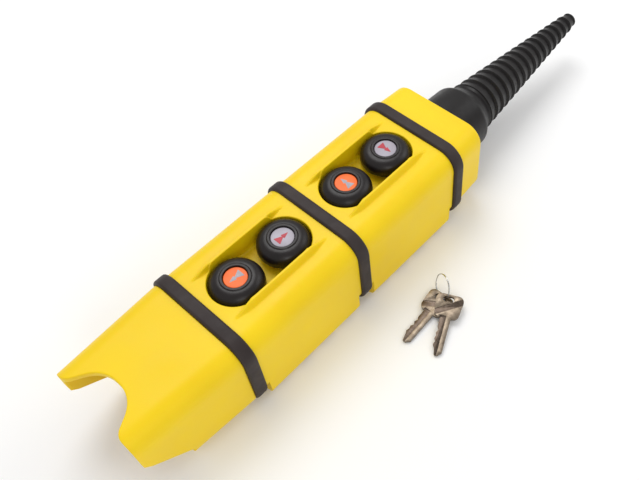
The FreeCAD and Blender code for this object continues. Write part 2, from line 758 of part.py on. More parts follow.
def makeTieRodNuts():
    solids = []
    thick = number("rodNutThick")
    across = number("rodNutRadius")
    for x, z in rodPlaces():
        place = FreeCAD.Vector(number(x), -number(partitionBack) - thick, number(z))
        corners = []
        for index in range(7):
            turn = math.radians(60 * index)
            corners.append(place + FreeCAD.Vector(across * math.cos(turn), 0, across * math.sin(turn)))
        blank = Part.Face(Part.makePolygon(corners)).extrude(FreeCAD.Vector(0, thick, 0))
        bore = Part.makeCylinder(number("rodRadius + fitGap"), thick, place, alongY)
        solids.append(blank.cut(bore))
    return groupOf("tie_rod_nuts", solids)


# ---------------------------------------------------------------- key switch under the hood

def alongAxisBody(label, corners, radii=None, height="keyAxisHeight"):
    # a piece turned about the Y direction: the outline is (radius, Y) in the body's own frame
    body = newBody(label)
    placeBody(body, z=height)
    sketch = newSketch(body, "XY_Plane")
    addOutline(sketch, corners, radii)
    addTurned(body, "Revolution", sketch)
    return body


def makeKeySwitch():
    bore = "(rotorRadius + runningGap)"
    bezelRadius = "(barrelRadius + bezelRim)"
    face = "(-%s - bezelThick)" % partitionBack
    wallOuter = minus(partitionBack)
    wallInner = minus(bandEdge)
    barrelEnd = "(-%s + barrelLength)" % bandEdge
    corners = ((bore, face), (bezelRadius, face), (bezelRadius, wallOuter),
               ("barrelRadius", wallOuter), ("barrelRadius", barrelEnd), (bore, barrelEnd))
    switchBody = alongAxisBody("key_switch_body", corners, ("0", "1.5", "0", "0", "0", "0"))
    nutEnd = "(%s + keyNutThick)" % wallInner
    corners = ringOutline("(barrelRadius + fitGap)", "(barrelRadius + keyNutRim)", wallInner, nutEnd)
    nut = alongAxisBody("key_switch_nut", corners)
    # the rotor turns in the barrel and reaches the contact block with its tail
    tip = "(%s - rotorProud)" % face
    corners = (("0", tip), ("rotorRadius", tip), ("rotorRadius", "(%s - 1)" % barrelEnd),
               ("(rotorRadius / 2)", "(%s - 1)" % barrelEnd), ("(rotorRadius / 2)", barrelEnd),
               ("0", barrelEnd))
    rotor = alongAxisBody("key_switch_rotor", corners, ("0", "0.6", "0", "0", "0", "0"))
    sketch = newSketch(rotor, "XZ_Plane", minus("(%s - 1)" % tip))
    across = "slotHalfWidth"
    tall = "slotHalfHeight"
    addOutline(sketch, ((minus(across), minus(tall)), (across, minus(tall)), (across, tall),
                        (minus(across), tall)))
    addFeature(rotor, "Pocket", sketch, "slotDepth + 1")
    contacts = newBody("key_switch_contacts")
    placeBody(contacts, z="keyAxisHeight")
    sketch = newSketch(contacts, "XZ_Plane", minus("(%s + runningGap)" % barrelEnd))
    half = "keyBlockHalf"
    addOutline(sketch, ((minus(half), minus(half)), (half, minus(half)), (half, half),
                        (minus(half), half)), ["1"] * 4)
    addFeature(contacts, "Pad", sketch, "keyBlockThick", backwards=True)
    return [switchBody, nut, rotor, contacts]


# ---------------------------------------------------------------- cable sleeve and clamp

def makeSleeve():
    # bell collar, then overlapping ribs that each fall away from a crest on the housing side
    face = number(capEnd)
    flangeFace = face - number("capEndWall")
    collar = number("collarRadius")
    neck = number("neckRadius")
    outer = [(number("sleeveBaseBore"), flangeFace - number("sleeveFlangeThick")),
             (number("sleeveFlangeRadius"), flangeFace - number("sleeveFlangeThick")),
             (number("sleeveFlangeRadius"), flangeFace), (neck, flangeFace), (neck, face), (collar, face)]
    shoulder = number("shoulderRadius")
    collarEnd = face + number("collarLength")
    rimRadius = collar - number("collarShrink")
    outer.append((rimRadius, collarEnd - shoulder))
    for step in range(1, 4):
        turn = math.radians(30 * step)
        inwards = shoulder * (1 - math.cos(turn))
        outer.append((rimRadius - inwards, collarEnd - shoulder * (1 - math.sin(turn))))
    ribs = int(number("ribCount"))
    first = number("ribFirstRadius")
    last = number("ribLastRadius")
    depth = number("ribDepth")
    pitch = number("ribPitch")
    for rib in range(ribs):
        crest = first + (last - first) * rib / (ribs - 1)
        place = face + number("ribStart") + pitch * rib
        outer.append((crest - depth, place - pitch * 0.17))
        outer.append((crest - depth * 0.2, place - pitch * 0.1))
        outer.append((crest, place))
    tip = face + number("ribStart") + pitch * (ribs - 1) + number("tipLength")
    outer.append((number("tipRadius"), tip))
    bore = number("cableRadius")
    outer.append((bore, tip))
    outer.append((bore, tip - number("cableGrip")))
    outer.append((bore + 0.3, tip - number("cableGrip") - 1))
    outer.append((number("sleeveBaseBore"), collarEnd - 2 * shoulder))
    points = [FreeCAD.Vector(radius, place, 0) for radius, place in outer]
    profile = Part.Face(Part.makePolygon(points + points[:1]))
    feature = doc.addObject("Part::Feature", "cable_sleeve")
    feature.Label = "cable_sleeve"
    feature.Shape = profile.revolve(FreeCAD.Vector(0, 0, 0), alongY, 360)
    feature.Placement = FreeCAD.Placement(FreeCAD.Vector(0, 0, number("axisHeight")), FreeCAD.Rotation())
    return feature


def makeSleeveRing():
    inside = "(%s - capEndWall - sleeveFlangeThick)" % capEnd
    corners = ringOutline("sleeveBaseBore", "sleeveFlangeRadius", "(%s - sleeveRingThick)" % inside, inside)
    return alongAxisBody("sleeve_ring", corners, None, "axisHeight")


def makeCableClamp():
    start = "(%s + clampStart)" % bandEdge
    groove = "cableRadius"
    saddle = newBody("cable_clamp_saddle")
    bar = newBody("cable_clamp_bar")
    half = "clampHalfWidth"
    low = "(axisHeight - clampGap / 2)"
    high = "(axisHeight + clampGap / 2)"
    levels = ((saddle, innerBack, low), (bar, high, "(%s + cableRadius + clampBarHeight)" % high))
    for body, bottom, top in levels:
        sketch = newSketch(body, "XZ_Plane", minus(start))
        addOutline(sketch, ((minus(half), bottom), (half, bottom), (half, top), (minus(half), top)))
        addFeature(body, "Pad", sketch, "clampLength", backwards=True)
        sketch = newSketch(body, "XZ_Plane", minus("(%s - 1)" % start))
        addCircle(sketch, "0", "axisHeight", groove)
        addFeature(body, "Pocket", sketch, "clampLength + 2")
        sketch = newSketch(body, "XY_Plane", "(%s + 1)" % top)
        for side in ("", "-"):
            addCircle(sketch, side + "clampScrewSpread", "(%s + clampLength / 2)" % start,
                      "clampScrewRadius + fitGap")
        addFeature(body, "Pocket", sketch, "(%s - %s + 2)" % (top, bottom) if body is bar else "16")
    solids = []
    top = number("%s + cableRadius + clampBarHeight" % high)
    radius = number("clampScrewRadius")
    for side in (-1, 1):
        place = FreeCAD.Vector(side * number("clampScrewSpread"), number("%s + clampLength / 2" % start), top)
        shank = Part.makeCylinder(radius, top - number(low) + 12, place, FreeCAD.Vector(0, 0, -1))
        head = Part.makeCylinder(2 * radius, radius * 1.2, place)
        slot = Part.makeBox(4 * radius, radius / 2, radius * 0.6,
                            place + FreeCAD.Vector(-2 * radius, -radius / 4, radius * 0.6))
        solids.append(shank.fuse(head).removeSplitter().cut(slot))
    return [saddle, bar, groupOf("cable_clamp_screws", solids)]


# ---------------------------------------------------------------- keys

def makeKey(label, flip):
    # the key lies along its own -Y from the ring hole, which is its origin
    body = newBody(label)
    headTopY = "keyHoleInset"
    headFoot = "(keyHoleInset - keyHeadLength)"
    tip = "(keyHoleInset - keyHeadLength - keyBladeLength)"
    blade = "keyBladeHalf"
    corners = [("(-keyHeadHalf)", headTopY), ("keyHeadHalf", headTopY), ("keyHeadNear", headFoot),
               (blade, headFoot), (blade, "(%s + keyTipChamfer)" % tip),
               ("(keyBladeHalf - keyTipChamfer)", tip)]
    radii = ["keyHeadCorner", "keyHeadCorner", "keyHeadCorner", "0", "0", "0"]
    bitted = "(-%s)" % blade
    corners.append(("(-keyBladeHalf + keyTipChamfer)", tip))
    radii.append("0")
    for notch in range(4):
        foot = "(%s + keyTipChamfer + bittingPitch * %g)" % (tip, notch + 0.6)
        crest = "(%s + keyTipChamfer + bittingPitch * %g)" % (tip, notch + 1.1)
        deep = "(-keyBladeHalf + bittingDepth * %g)" % (1 - 0.25 * ((notch + flip) % 3))
        corners.append((deep, foot))
        corners.append((bitted, crest))
        radii += ["0", "0"]
    corners += [(bitted, headFoot), ("(-keyHeadNear)", headFoot)]
    radii += ["0", "keyHeadCorner"]
    sketch = newSketch(body, "XY_Plane")
    addOutline(sketch, corners, radii)
    addFeature(body, "Pad", sketch, "keyThick")
    sketch = newSketch(body, "XY_Plane", "(keyThick + 1)")
    addSlot(sketch, "(-keyHoleShift)", "0", "(keyHoleLength / 2)", "keyHoleHalf", across=True)
    addFeature(body, "Pocket", sketch, "keyThick + 2")
    # milled groove along the blade
    sketch = newSketch(body, "XY_Plane", "(keyThick + 1)")
    grooveHalf = "0.7"
    grooveX = "(keyBladeHalf / 4)"
    addOutline(sketch, (("(%s - %s)" % (grooveX, grooveHalf), "(%s - 1)" % tip),
                        ("(%s + %s)" % (grooveX, grooveHalf), "(%s - 1)" % tip),
                        ("(%s + %s)" % (grooveX, grooveHalf), "(%s + 2)" % headFoot),
                        ("(%s - %s)" % (grooveX, grooveHalf), "(%s + 2)" % headFoot)))
    addFeature(body, "Pocket", sketch, "1 + keyThick / 3")
    return body


def makeRing():
    # round split ring leaning back from the two key holes
    ring = doc.addObject("Part::Torus", "key_ring")
    ring.Label = "key_ring"
    ring.setExpression("Radius1", bound("ringRadius"))
    ring.setExpression("Radius2", bound("ringWire"))
    return ring


# ---------------------------------------------------------------- the whole station

moduleCentres = (("lower", "(-modulePitch / 2)"), ("upper", "(modulePitch / 2)"))
bandCentres = (("lower_band", minus("modulePitch")), ("middle_band", "0"), ("upper_band", "modulePitch"))
buttonNames = (("down", "up"), ("left", "right"))

pieces = [makeHood(), makeHeadCap()]
pieces += [makeBand(label, centre) for label, centre in bandCentres]
buttonCentres = []
for (moduleName, moduleCentre), names in zip(moduleCentres, buttonNames):
    pieces.append(makeModule(moduleName + "_module", moduleCentre))
    pieces.append(makeRail(moduleName + "_contact_rail", moduleCentre))
    for name, side in zip(names, ("-", "+")):
        centre = "(%s %s buttonPitch / 2)" % (moduleCentre, side)
        buttonCentres.append(centre)
        pieces.append(makeCap(name + "_button_cap", centre))
        insert = turnedBody(name + "_button_insert", ringOutline("0", "insertRadius", headTop, insertTop),
                            ("0", "0", "0.4", "0"), centre)
        pieces.append(insert)
        pieces.append(makePlunger(name + "_button_plunger", centre))
        pieces.append(makeBush(name + "_button_bush", centre))
        pieces.append(makeNut(name + "_button_nut", centre))
        pieces.append(makeSpring(name + "_button_spring", centre))
        pieces.append(makeContacts(name + "_contact_block", centre))
pieces.append(makeTerminalScrews(buttonCentres))
pieces += [makeTieRods(), makeTieRodNuts()]
pieces += makeKeySwitch()
pieces += [makeSleeve(), makeSleeveRing()]
pieces += makeCableClamp()

# keys on their ring: each rests on its tip, the lower head on the ring, the upper over the lower
keyReach = number("keyHeadLength + keyBladeLength - keyHoleInset")


def layKey(key, x, y, lift, turn):
    # from the ring hole, lifted there, down to the tip
    rise = number("%s - keyTipRest" % lift)
    slope = FreeCAD.Rotation(alongX, math.degrees(math.asin(rise / keyReach)))
    place = FreeCAD.Vector(number(x), number(y), number(lift))
    key.Placement = FreeCAD.Placement(place, FreeCAD.Rotation(alongZ, number(turn)).multiply(slope))


keyUnder = makeKey("key_under", 1)
layKey(keyUnder, "keyUnderX", "keyUnderY", "keyUnderLift", "keyUnderTurn")
keyOver = makeKey("key_over", 0)
layKey(keyOver, "keyOverX", "keyOverY", "(keyUnderLift + keyThick + keyOverRise)", "keyOverTurn")
ring = makeRing()
lean = FreeCAD.Rotation(alongZ, number("ringTurn")).multiply(FreeCAD.Rotation(alongX, number("ringLean")))
ringDrop = number("ringRadius") * math.sin(math.radians(number("ringLean")))
ringHeight = ringDrop + number("ringWire + ringRest")
ringPlace = FreeCAD.Vector(number("ringPlaceX"), number("ringPlaceY"), ringHeight)
ring.Placement = FreeCAD.Placement(ringPlace, lean)
pieces += [keyUnder, keyOver, ring]

doc.recompute()

for item in doc.Objects:
    if "Invalid" in item.State or "Error" in item.State:
        raise RuntimeError("%s failed: %s" % (item.Label, item.State))
for piece in pieces:
    if piece.Shape.isNull() or not piece.Shape.isValid() or not piece.Shape.Solids:
        raise RuntimeError("%s has no valid solid" % piece.Label)

os.makedirs("parts", exist_ok=True)
for piece in pieces:
    piece.Shape.exportStep("parts/%s.step" % piece.Label)
    print("%-26s solids %2d volume %10.1f" % (piece.Label, len(piece.Shape.Solids), piece.Shape.Volume))
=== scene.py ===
import bpy
import bmesh
import math
from mathutils import Matrix, Vector


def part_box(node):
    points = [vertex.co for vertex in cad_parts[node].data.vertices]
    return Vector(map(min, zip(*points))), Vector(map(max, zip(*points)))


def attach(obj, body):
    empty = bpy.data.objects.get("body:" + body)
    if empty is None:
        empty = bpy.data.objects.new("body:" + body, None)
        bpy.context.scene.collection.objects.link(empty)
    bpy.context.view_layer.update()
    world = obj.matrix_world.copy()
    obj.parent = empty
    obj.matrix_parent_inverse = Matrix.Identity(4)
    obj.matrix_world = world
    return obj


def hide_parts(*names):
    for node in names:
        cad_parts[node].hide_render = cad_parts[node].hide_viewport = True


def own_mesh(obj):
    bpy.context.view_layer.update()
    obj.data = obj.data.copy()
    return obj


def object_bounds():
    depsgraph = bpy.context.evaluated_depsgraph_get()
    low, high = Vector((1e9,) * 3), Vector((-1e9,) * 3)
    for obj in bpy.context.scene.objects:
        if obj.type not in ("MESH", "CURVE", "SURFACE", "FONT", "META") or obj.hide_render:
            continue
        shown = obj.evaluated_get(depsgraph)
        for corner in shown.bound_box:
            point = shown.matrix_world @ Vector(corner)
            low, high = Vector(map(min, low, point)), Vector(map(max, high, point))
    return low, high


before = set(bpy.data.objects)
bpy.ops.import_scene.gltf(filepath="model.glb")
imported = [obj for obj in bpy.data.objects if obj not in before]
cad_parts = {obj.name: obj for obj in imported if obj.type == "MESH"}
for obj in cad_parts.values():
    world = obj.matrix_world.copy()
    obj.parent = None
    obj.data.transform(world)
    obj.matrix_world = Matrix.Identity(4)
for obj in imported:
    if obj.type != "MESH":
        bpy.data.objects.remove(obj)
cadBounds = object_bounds()
print("frame loaded:", len(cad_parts), "nodes")

mm = 0.001  # every size below is in millimetres until a mesh is made
buttonNames = ("down", "up", "left", "right")


def span(node):  # a node's lowest and highest corners, in millimetres
    low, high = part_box(node)
    return low / mm, high / mm


# camera

camera = {"place": (0.2311, -0.1879, 0.4531), "right": (0.747, 0.664, -0.021),
          "down": (0.535, -0.620, -0.574), "lens": 41.6, "shiftX": -0.088, "shiftY": 0.0046}


def makeCamera():
    data = bpy.data.cameras.new("stationCamera")
    data.lens = camera["lens"]
    data.sensor_width = 36
    data.shift_x = camera["shiftX"]
    data.shift_y = camera["shiftY"]
    right = Vector(camera["right"]).normalized()
    up = -Vector(camera["down"]).normalized()
    back = right.cross(up).normalized()
    up = back.cross(right)
    seen = bpy.data.objects.new("stationCamera", data)
    seen.matrix_world = Matrix((right, up, back)).transposed().to_4x4()
    seen.matrix_world.translation = Vector(camera["place"])
    bpy.context.scene.collection.objects.link(seen)
    bpy.context.scene.camera = seen


makeCamera()
bpy.context.scene.view_settings.view_transform = "Standard"
print("camera placed")


# materials

def startMaterial(name, roughness, metallic=0.0):
    material = bpy.data.materials.new(name)
    material.use_nodes = True
    shader = material.node_tree.nodes["Principled BSDF"]
    shader.inputs["Roughness"].default_value = roughness
    shader.inputs["Metallic"].default_value = metallic
    return material, shader


def objectNoise(material, scale, detail=3.0, roughness=0.5, stretch=(1, 1, 1)):
    nodes = material.node_tree.nodes
    links = material.node_tree.links
    place = nodes.new("ShaderNodeTexCoord")
    mapping = nodes.new("ShaderNodeMapping")
    mapping.inputs["Scale"].default_value = stretch
    noise = nodes.new("ShaderNodeTexNoise")
    noise.inputs["Scale"].default_value = scale
    noise.inputs["Detail"].default_value = detail
    noise.inputs["Roughness"].default_value = roughness
    links.new(place.outputs["Object"], mapping.inputs["Vector"])
    links.new(mapping.outputs["Vector"], noise.inputs["Vector"])
    return noise.outputs["Fac"]


def rampColours(material, source, stops):
    ramp = material.node_tree.nodes.new("ShaderNodeValToRGB")
    for index, (position, colour) in enumerate(stops):
        spot = ramp.color_ramp.elements[index] if index < 2 else ramp.color_ramp.elements.new(position)
        spot.position = position
        spot.color = (*colour, 1)
    material.node_tree.links.new(source, ramp.inputs["Fac"])
    return ramp.outputs["Color"]


def mapRange(material, source, low, high):
    spread = material.node_tree.nodes.new("ShaderNodeMapRange")
    spread.inputs["From Min"].default_value = 0.3
    spread.inputs["From Max"].default_value = 0.7
    spread.inputs["To Min"].default_value = low
    spread.inputs["To Max"].default_value = high
    material.node_tree.links.new(source, spread.inputs["Value"])
    return spread.outputs["Result"]


def addBump(material, shader, height, strength, distance):
    bump = material.node_tree.nodes.new("ShaderNodeBump")
    bump.inputs["Strength"].default_value = strength
    bump.inputs["Distance"].default_value = distance
    material.node_tree.links.new(height, bump.inputs["Height"])
    before = shader.inputs["Normal"].links
    if before:
        material.node_tree.links.new(before[0].from_socket, bump.inputs["Normal"])
    material.node_tree.links.new(bump.outputs["Normal"], shader.inputs["Normal"])


def mouldedMaterial(name, look):
    # moulded plastic or rubber: clouded colour, fine moulding grain and a little uneven gloss
    material, shader = startMaterial(name, look["gloss"][0])
    links = material.node_tree.links
    cloud = objectNoise(material, look["cloudScale"], 4)
    colour = rampColours(material, cloud, ((0.3, look["dark"]), (0.7, look["light"])))
    links.new(colour, shader.inputs["Base Color"])
    links.new(mapRange(material, objectNoise(material, look["cloudScale"] * 4, 5), *look["gloss"]),
              shader.inputs["Roughness"])
    addBump(material, shader, objectNoise(material, look["grainScale"], 2), look["grain"], 0.0001)
    addBump(material, shader, objectNoise(material, 90, 2), look["ripple"], 0.0004)
    shader.inputs["IOR"].default_value = look.get("ior", 1.5)
    shader.inputs["Subsurface Weight"].default_value = look.get("glow", 0.0)
    shader.inputs["Subsurface Scale"].default_value = 0.002
    return material


def metalMaterial(name, look):
    # plated or drawn metal: brushed along one way, with soft stains and small scratches
    material, shader = startMaterial(name, look["gloss"][0], 1.0)
    links = material.node_tree.links
    stain = objectNoise(material, look["stainScale"], 5, 0.6)
    links.new(rampColours(material, stain, ((0.32, look["dark"]), (0.68, look["light"]))),
              shader.inputs["Base Color"])
    brushed = objectNoise(material, look["brushScale"], 3, 0.6, look["stretch"])
    links.new(mapRange(material, brushed, *look["gloss"]), shader.inputs["Roughness"])
    addBump(material, shader, brushed, look["grain"], 0.00005)
    return material


plasticLooks = {
    "yellowPlastic": {"dark": (0.85, 0.575, 0.001), "light": (0.93, 0.655, 0.003),
                      "gloss": (0.38, 0.48), "ior": 1.38,
                      "cloudScale": 14, "grainScale": 2400, "grain": 0.10, "ripple": 0.05, "glow": 0.06},
    "sealRubber": {"dark": (0.024, 0.016, 0.015), "light": (0.040, 0.029, 0.027),
                   "gloss": (0.50, 0.62), "ior": 1.36,
                   "cloudScale": 60, "grainScale": 3000, "grain": 0.18, "ripple": 0.08},
    "capRubber": {"dark": (0.006, 0.004, 0.004), "light": (0.012, 0.008, 0.008),
                  "gloss": (0.30, 0.40), "ior": 1.40,
                  "cloudScale": 80, "grainScale": 3200, "grain": 0.08, "ripple": 0.04},
    "sleeveRubber": {"dark": (0.004, 0.003, 0.003), "light": (0.009, 0.007, 0.007),
                     "gloss": (0.36, 0.48), "ior": 1.38,
                     "cloudScale": 60, "grainScale": 2600, "grain": 0.14, "ripple": 0.06},
    "orangePlastic": {"dark": (0.90, 0.13, 0.012), "light": (0.98, 0.17, 0.020),
                      "gloss": (0.32, 0.42), "ior": 1.40,
                      "cloudScale": 120, "grainScale": 2600, "grain": 0.06, "ripple": 0.03},
    "greyPlastic": {"dark": (0.34, 0.31, 0.36), "light": (0.42, 0.39, 0.45), "gloss": (0.34, 0.44),
                    "cloudScale": 120, "grainScale": 2600, "grain": 0.06, "ripple": 0.03},
    "arrowGrey": {"dark": (0.33, 0.31, 0.35), "light": (0.42, 0.40, 0.44), "gloss": (0.40, 0.50),
                  "cloudScale": 300, "grainScale": 3200, "grain": 0.10, "ripple": 0.02},
    "arrowCrimson": {"dark": (0.40, 0.018, 0.035), "light": (0.52, 0.030, 0.052), "gloss": (0.40, 0.50),
                     "cloudScale": 300, "grainScale": 3200, "grain": 0.10, "ripple": 0.02},
    "innerPlastic": {"dark": (0.014, 0.014, 0.015), "light": (0.026, 0.026, 0.028), "gloss": (0.45, 0.60),
                     "cloudScale": 60, "grainScale": 2200, "grain": 0.12, "ripple": 0.04},
    "contactPlastic": {"dark": (0.36, 0.36, 0.33), "light": (0.46, 0.46, 0.43), "gloss": (0.45, 0.58),
                       "cloudScale": 60, "grainScale": 2200, "grain": 0.12, "ripple": 0.04},
}
metalLooks = {
    "keyNickel": {"dark": (0.155, 0.12, 0.09), "light": (0.30, 0.245, 0.185), "gloss": (0.30, 0.44),
                  "stainScale": 260, "brushScale": 900, "stretch": (1, 0.08, 1), "grain": 0.25},
    # painted shade: the recess finish is the key metal painted darker, standing in for the dark reflection on
    # the polished floors of the stripe and groove
    "keyRecessPaintedShade": {"dark": (0.075, 0.055, 0.042), "light": (0.13, 0.10, 0.08), "gloss": (0.26, 0.36),
                  "stainScale": 320, "brushScale": 1100, "stretch": (0.08, 1, 1), "grain": 0.15},
    "wireSteel": {"dark": (0.42, 0.42, 0.41), "light": (0.62, 0.62, 0.60), "gloss": (0.18, 0.30),
                  "stainScale": 300, "brushScale": 1600, "stretch": (1, 1, 0.2), "grain": 0.12},
    "lockChrome": {"dark": (0.58, 0.58, 0.57), "light": (0.72, 0.72, 0.71), "gloss": (0.10, 0.20),
                   "stainScale": 120, "brushScale": 1200, "stretch": (1, 0.2, 1), "grain": 0.08},
    "zincSteel": {"dark": (0.46, 0.46, 0.43), "light": (0.62, 0.61, 0.57), "gloss": (0.32, 0.48),
                  "stainScale": 150, "brushScale": 1000, "stretch": (1, 0.1, 1), "grain": 0.2},
    "springSteel": {"dark": (0.28, 0.28, 0.28), "light": (0.44, 0.44, 0.43), "gloss": (0.25, 0.38),
                    "stainScale": 200, "brushScale": 1500, "stretch": (1, 1, 0.3), "grain": 0.12},
    "nickelBrass": {"dark": (0.52, 0.43, 0.25), "light": (0.68, 0.60, 0.40), "gloss": (0.25, 0.40),
                    "stainScale": 200, "brushScale": 1200, "stretch": (0.2, 1, 1), "grain": 0.15},
}
materials = {name: mouldedMaterial(name, look) for name, look in plasticLooks.items()}
materials.update({name: metalMaterial(name, look) for name, look in metalLooks.items()})
print("materials made:", len(materials))


# mesh helpers

def smoothStep(value):
    value = min(max(value, 0.0), 1.0)
    return value * value * (3 - 2 * value)


def mix(first, second, share):
    return tuple(a + (b - a) * share for a, b in zip(first, second))


def evenly(start, end, steps):
    return [start + (end - start) * step / steps for step in range(steps + 1)]


def cornerArc(before, corner, after, radius, steps, floor=None):
    # points of the arc that rounds a corner; with a floor the arc ends at that height
    corner = Vector(corner)
    arriving = (Vector(before) - corner).normalized()
    leaving = (Vector(after) - corner).normalized()
    half = arriving.angle(leaving) / 2
    centre = corner + (arriving + leaving).normalized() * (radius / math.sin(half))
    start = corner + arriving * (radius / math.tan(half)) - centre
    end = corner + leaving * (radius / math.tan(half)) - centre
    first = math.atan2(start.y, start.x)
    sweep = math.atan2(end.y, end.x) - first
    sweep = (sweep + math.pi) % (2 * math.pi) - math.pi
    if floor is not None:
        sweep = math.asin((floor - centre.y) / radius) - first
    return [(centre.x + radius * math.cos(turn), centre.y + radius * math.sin(turn))
            for turn in evenly(first, first + sweep, steps)]


def roundedPath(corners, radii, steps=8, closed=True):
    # straight runs between corners, each corner with a radius rounded by an arc
    points = []
    for index, (corner, radius) in enumerate(zip(corners, radii)):
        loose = not closed and index in (0, len(corners) - 1)
        if radius <= 0 or loose:
            points.append(tuple(corner))
        else:
            following = corners[(index + 1) % len(corners)]
            points += cornerArc(corners[index - 1], corner, following, radius, steps)
    return points


def gridFaces(rows, columns, wrapRows, wrapColumns):
    faces = []
    for row in range(rows if wrapRows else rows - 1):
        for column in range(columns if wrapColumns else columns - 1):
            nextRow = (row + 1) % rows
            nextColumn = (column + 1) % columns
            faces.append((row * columns + column, row * columns + nextColumn,
                          nextRow * columns + nextColumn, nextRow * columns + column))
    return faces


def rowsMesh(bm, rows, wrapRows=False, wrapColumns=True):
    # a net of quads through rows of points
    corners = [bm.verts.new(Vector(point) * mm) for row in rows for point in row]
    for face in gridFaces(len(rows), len(rows[0]), wrapRows, wrapColumns):
        bm.faces.new([corners[index] for index in face])
    return corners


def flatFill(bm, loops):
    # one flat face between an outer loop and any holes
    edges = []
    for loop in loops:
        corners = [bm.verts.new(Vector(point) * mm) for point in loop]
        for index, corner in enumerate(corners):
            edges.append(bm.edges.new((corners[index - 1], corner)))
    bmesh.ops.triangle_fill(bm, use_beauty=True, use_dissolve=False, edges=edges)


def circle(centre, radius, steps, level, axis="z"):
    points = []
    for step in range(steps):
        turn = 2 * math.pi * step / steps
        across = centre[0] + radius * math.cos(turn)
        along = centre[1] + radius * math.sin(turn)
        points.append((across, along, level) if axis == "z" else (across, level, along))
    return points


def startPiece(name, bm, body, material, replaced=()):
    bmesh.ops.remove_doubles(bm, verts=bm.verts, dist=2e-6)
    bmesh.ops.recalc_face_normals(bm, faces=bm.faces)
    mesh = bpy.data.meshes.new(name)
    bm.to_mesh(mesh)
    bm.free()
    piece = bpy.data.objects.new(name, mesh)
    bpy.context.scene.collection.objects.link(piece)
    mesh.materials.append(materials[material])
    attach(piece, body)
    if replaced:
        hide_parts(*replaced)
    return piece


def addModifier(piece, kind, **settings):
    modifier = piece.modifiers.new(kind.lower(), kind)
    for name, value in settings.items():
        setattr(modifier, name, value)


def settleMesh(piece, sharpAngle=38):
    # applies the modifiers, then smooth shading with creases where the surface turns sharply
    bpy.context.view_layer.update()
    graph = bpy.context.evaluated_depsgraph_get()
    settled = bpy.data.meshes.new_from_object(piece.evaluated_get(graph), depsgraph=graph)
    piece.modifiers.clear()
    piece.data = settled
    bm = bmesh.new()
    bm.from_mesh(settled)
    for face in bm.faces:
        face.smooth = True
    for edge in bm.edges:
        edge.smooth = not (edge.is_manifold and edge.calc_face_angle(0) > math.radians(sharpAngle))
    bm.to_mesh(settled)
    bm.free()


def makeTurned(name, profile, centre, body, material, replaced, axis="z", segments=96):
    # a piece turned about a vertical or lengthwise axis from (radius, place) points
    bm = bmesh.new()
    rowsMesh(bm, [circle(centre, radius, segments, place, axis) for radius, place in profile], wrapRows=True)
    settleMesh(startPiece(name, bm, body, material, replaced))


def wireLoop(middle, out, radius, sides):
    # one ring of points round a wire that runs across the given outward direction
    loop = []
    for angle in evenly(0, 2 * math.pi, sides)[:-1]:
        loop.append(tuple(middle + (out * math.cos(angle) + Vector((0, 0, math.sin(angle)))) * radius))
    return loop


def wireMesh(rows):
    # a wire through rings of points, closed at both ends
    bm = bmesh.new()
    corners = rowsMesh(bm, rows)
    bm.faces.new(corners[:len(rows[0])])
    bm.faces.new(corners[-len(rows[0]):])
    return bm


def raiseFaces(bm, height):
    # gives flat faces a thickness upwards
    grown = bmesh.ops.extrude_face_region(bm, geom=bm.faces[:])
    lifted = [item for item in grown["geom"] if isinstance(item, bmesh.types.BMVert)]
    bmesh.ops.translate(bm, verts=lifted, vec=(0, 0, height * mm))


# housing cross-section

housing = {"frontHalf": 41.0, "backFlare": 2.5, "frontRadius": 14.0, "backRadius": 13.0, "backZ": 9.0,
           "gripRadius": 9.0, "arcSteps": 14, "sideSteps": 8, "backSteps": 12, "frontSteps": 72}
frontZ = span("hood")[1].z


def halfSection(offset=0.0, narrower=0.0, backZ=housing["backZ"], backRadius=housing["backRadius"],
                floor=None):
    # right half of the outline, from where the flat front ends, round to the middle of the back
    flare = housing["backFlare"] * (frontZ - backZ) / frontZ
    front = (housing["frontHalf"] - narrower + offset, frontZ + offset)
    back = (housing["frontHalf"] + flare - narrower + offset, backZ - offset)
    steps = housing["arcSteps"]
    upper = cornerArc((0, front[1]), front, back, housing["frontRadius"] + offset, steps)
    lower = cornerArc(front, back, (0, back[1]), backRadius + offset, steps, floor)
    side = [mix(upper[-1], lower[0], share) for share in evenly(0, 1, housing["sideSteps"])[1:-1]]
    middle = (0, lower[-1][1])
    rear = [mix(lower[-1], middle, share) for share in evenly(0, 1, housing["backSteps"])[1:]]
    return upper + side + lower + rear


def openSection(**options):
    half = halfSection(**options)
    return half + [(-x, z) for x, z in reversed(half[:-1])]


def closedSection(**options):
    path = openSection(**options)
    front = [mix(path[-1], path[0], share) for share in evenly(0, 1, housing["frontSteps"])[1:-1]]
    return path + front


# button modules

module = {"wellRadius": 18.7, "pitch": 40.0, "wellFloor": 58.5, "floorFillet": 2.0, "edgeFillet": 0.7,
          "holeRadius": 11.05, "lipHeight": 4.6, "lipMiddle": 1.3, "lipRise": (-0.9, 1.4),
          "lipFall": (1.5, 2.9), "lipStraight": 24.0, "lipRunout": 17.0, "lipPoint": 0.3, "faceRings": 32,
          "gripHalf": 42.0, "gripStep": 0.2, "scallops": 4, "scallopDepth": 6.0, "gripLand": 0.8,
          "skin": 1.4}


def lipHeight(x, y):
    # a narrow bead along each side of the well, running out to a point past its ends
    across = abs(x) - module["wellRadius"]
    fade = 1 - smoothStep((abs(y) - module["lipStraight"]) / module["lipRunout"])
    width = module["lipPoint"] + (1 - module["lipPoint"]) * fade
    local = module["lipMiddle"] + (across - module["lipMiddle"]) / width
    rise = smoothStep((local - module["lipRise"][0]) / module["lipRise"][1])
    fall = smoothStep((local - module["lipFall"][0]) / module["lipFall"][1])
    return module["lipHeight"] * fade * rise * (1 - fall)


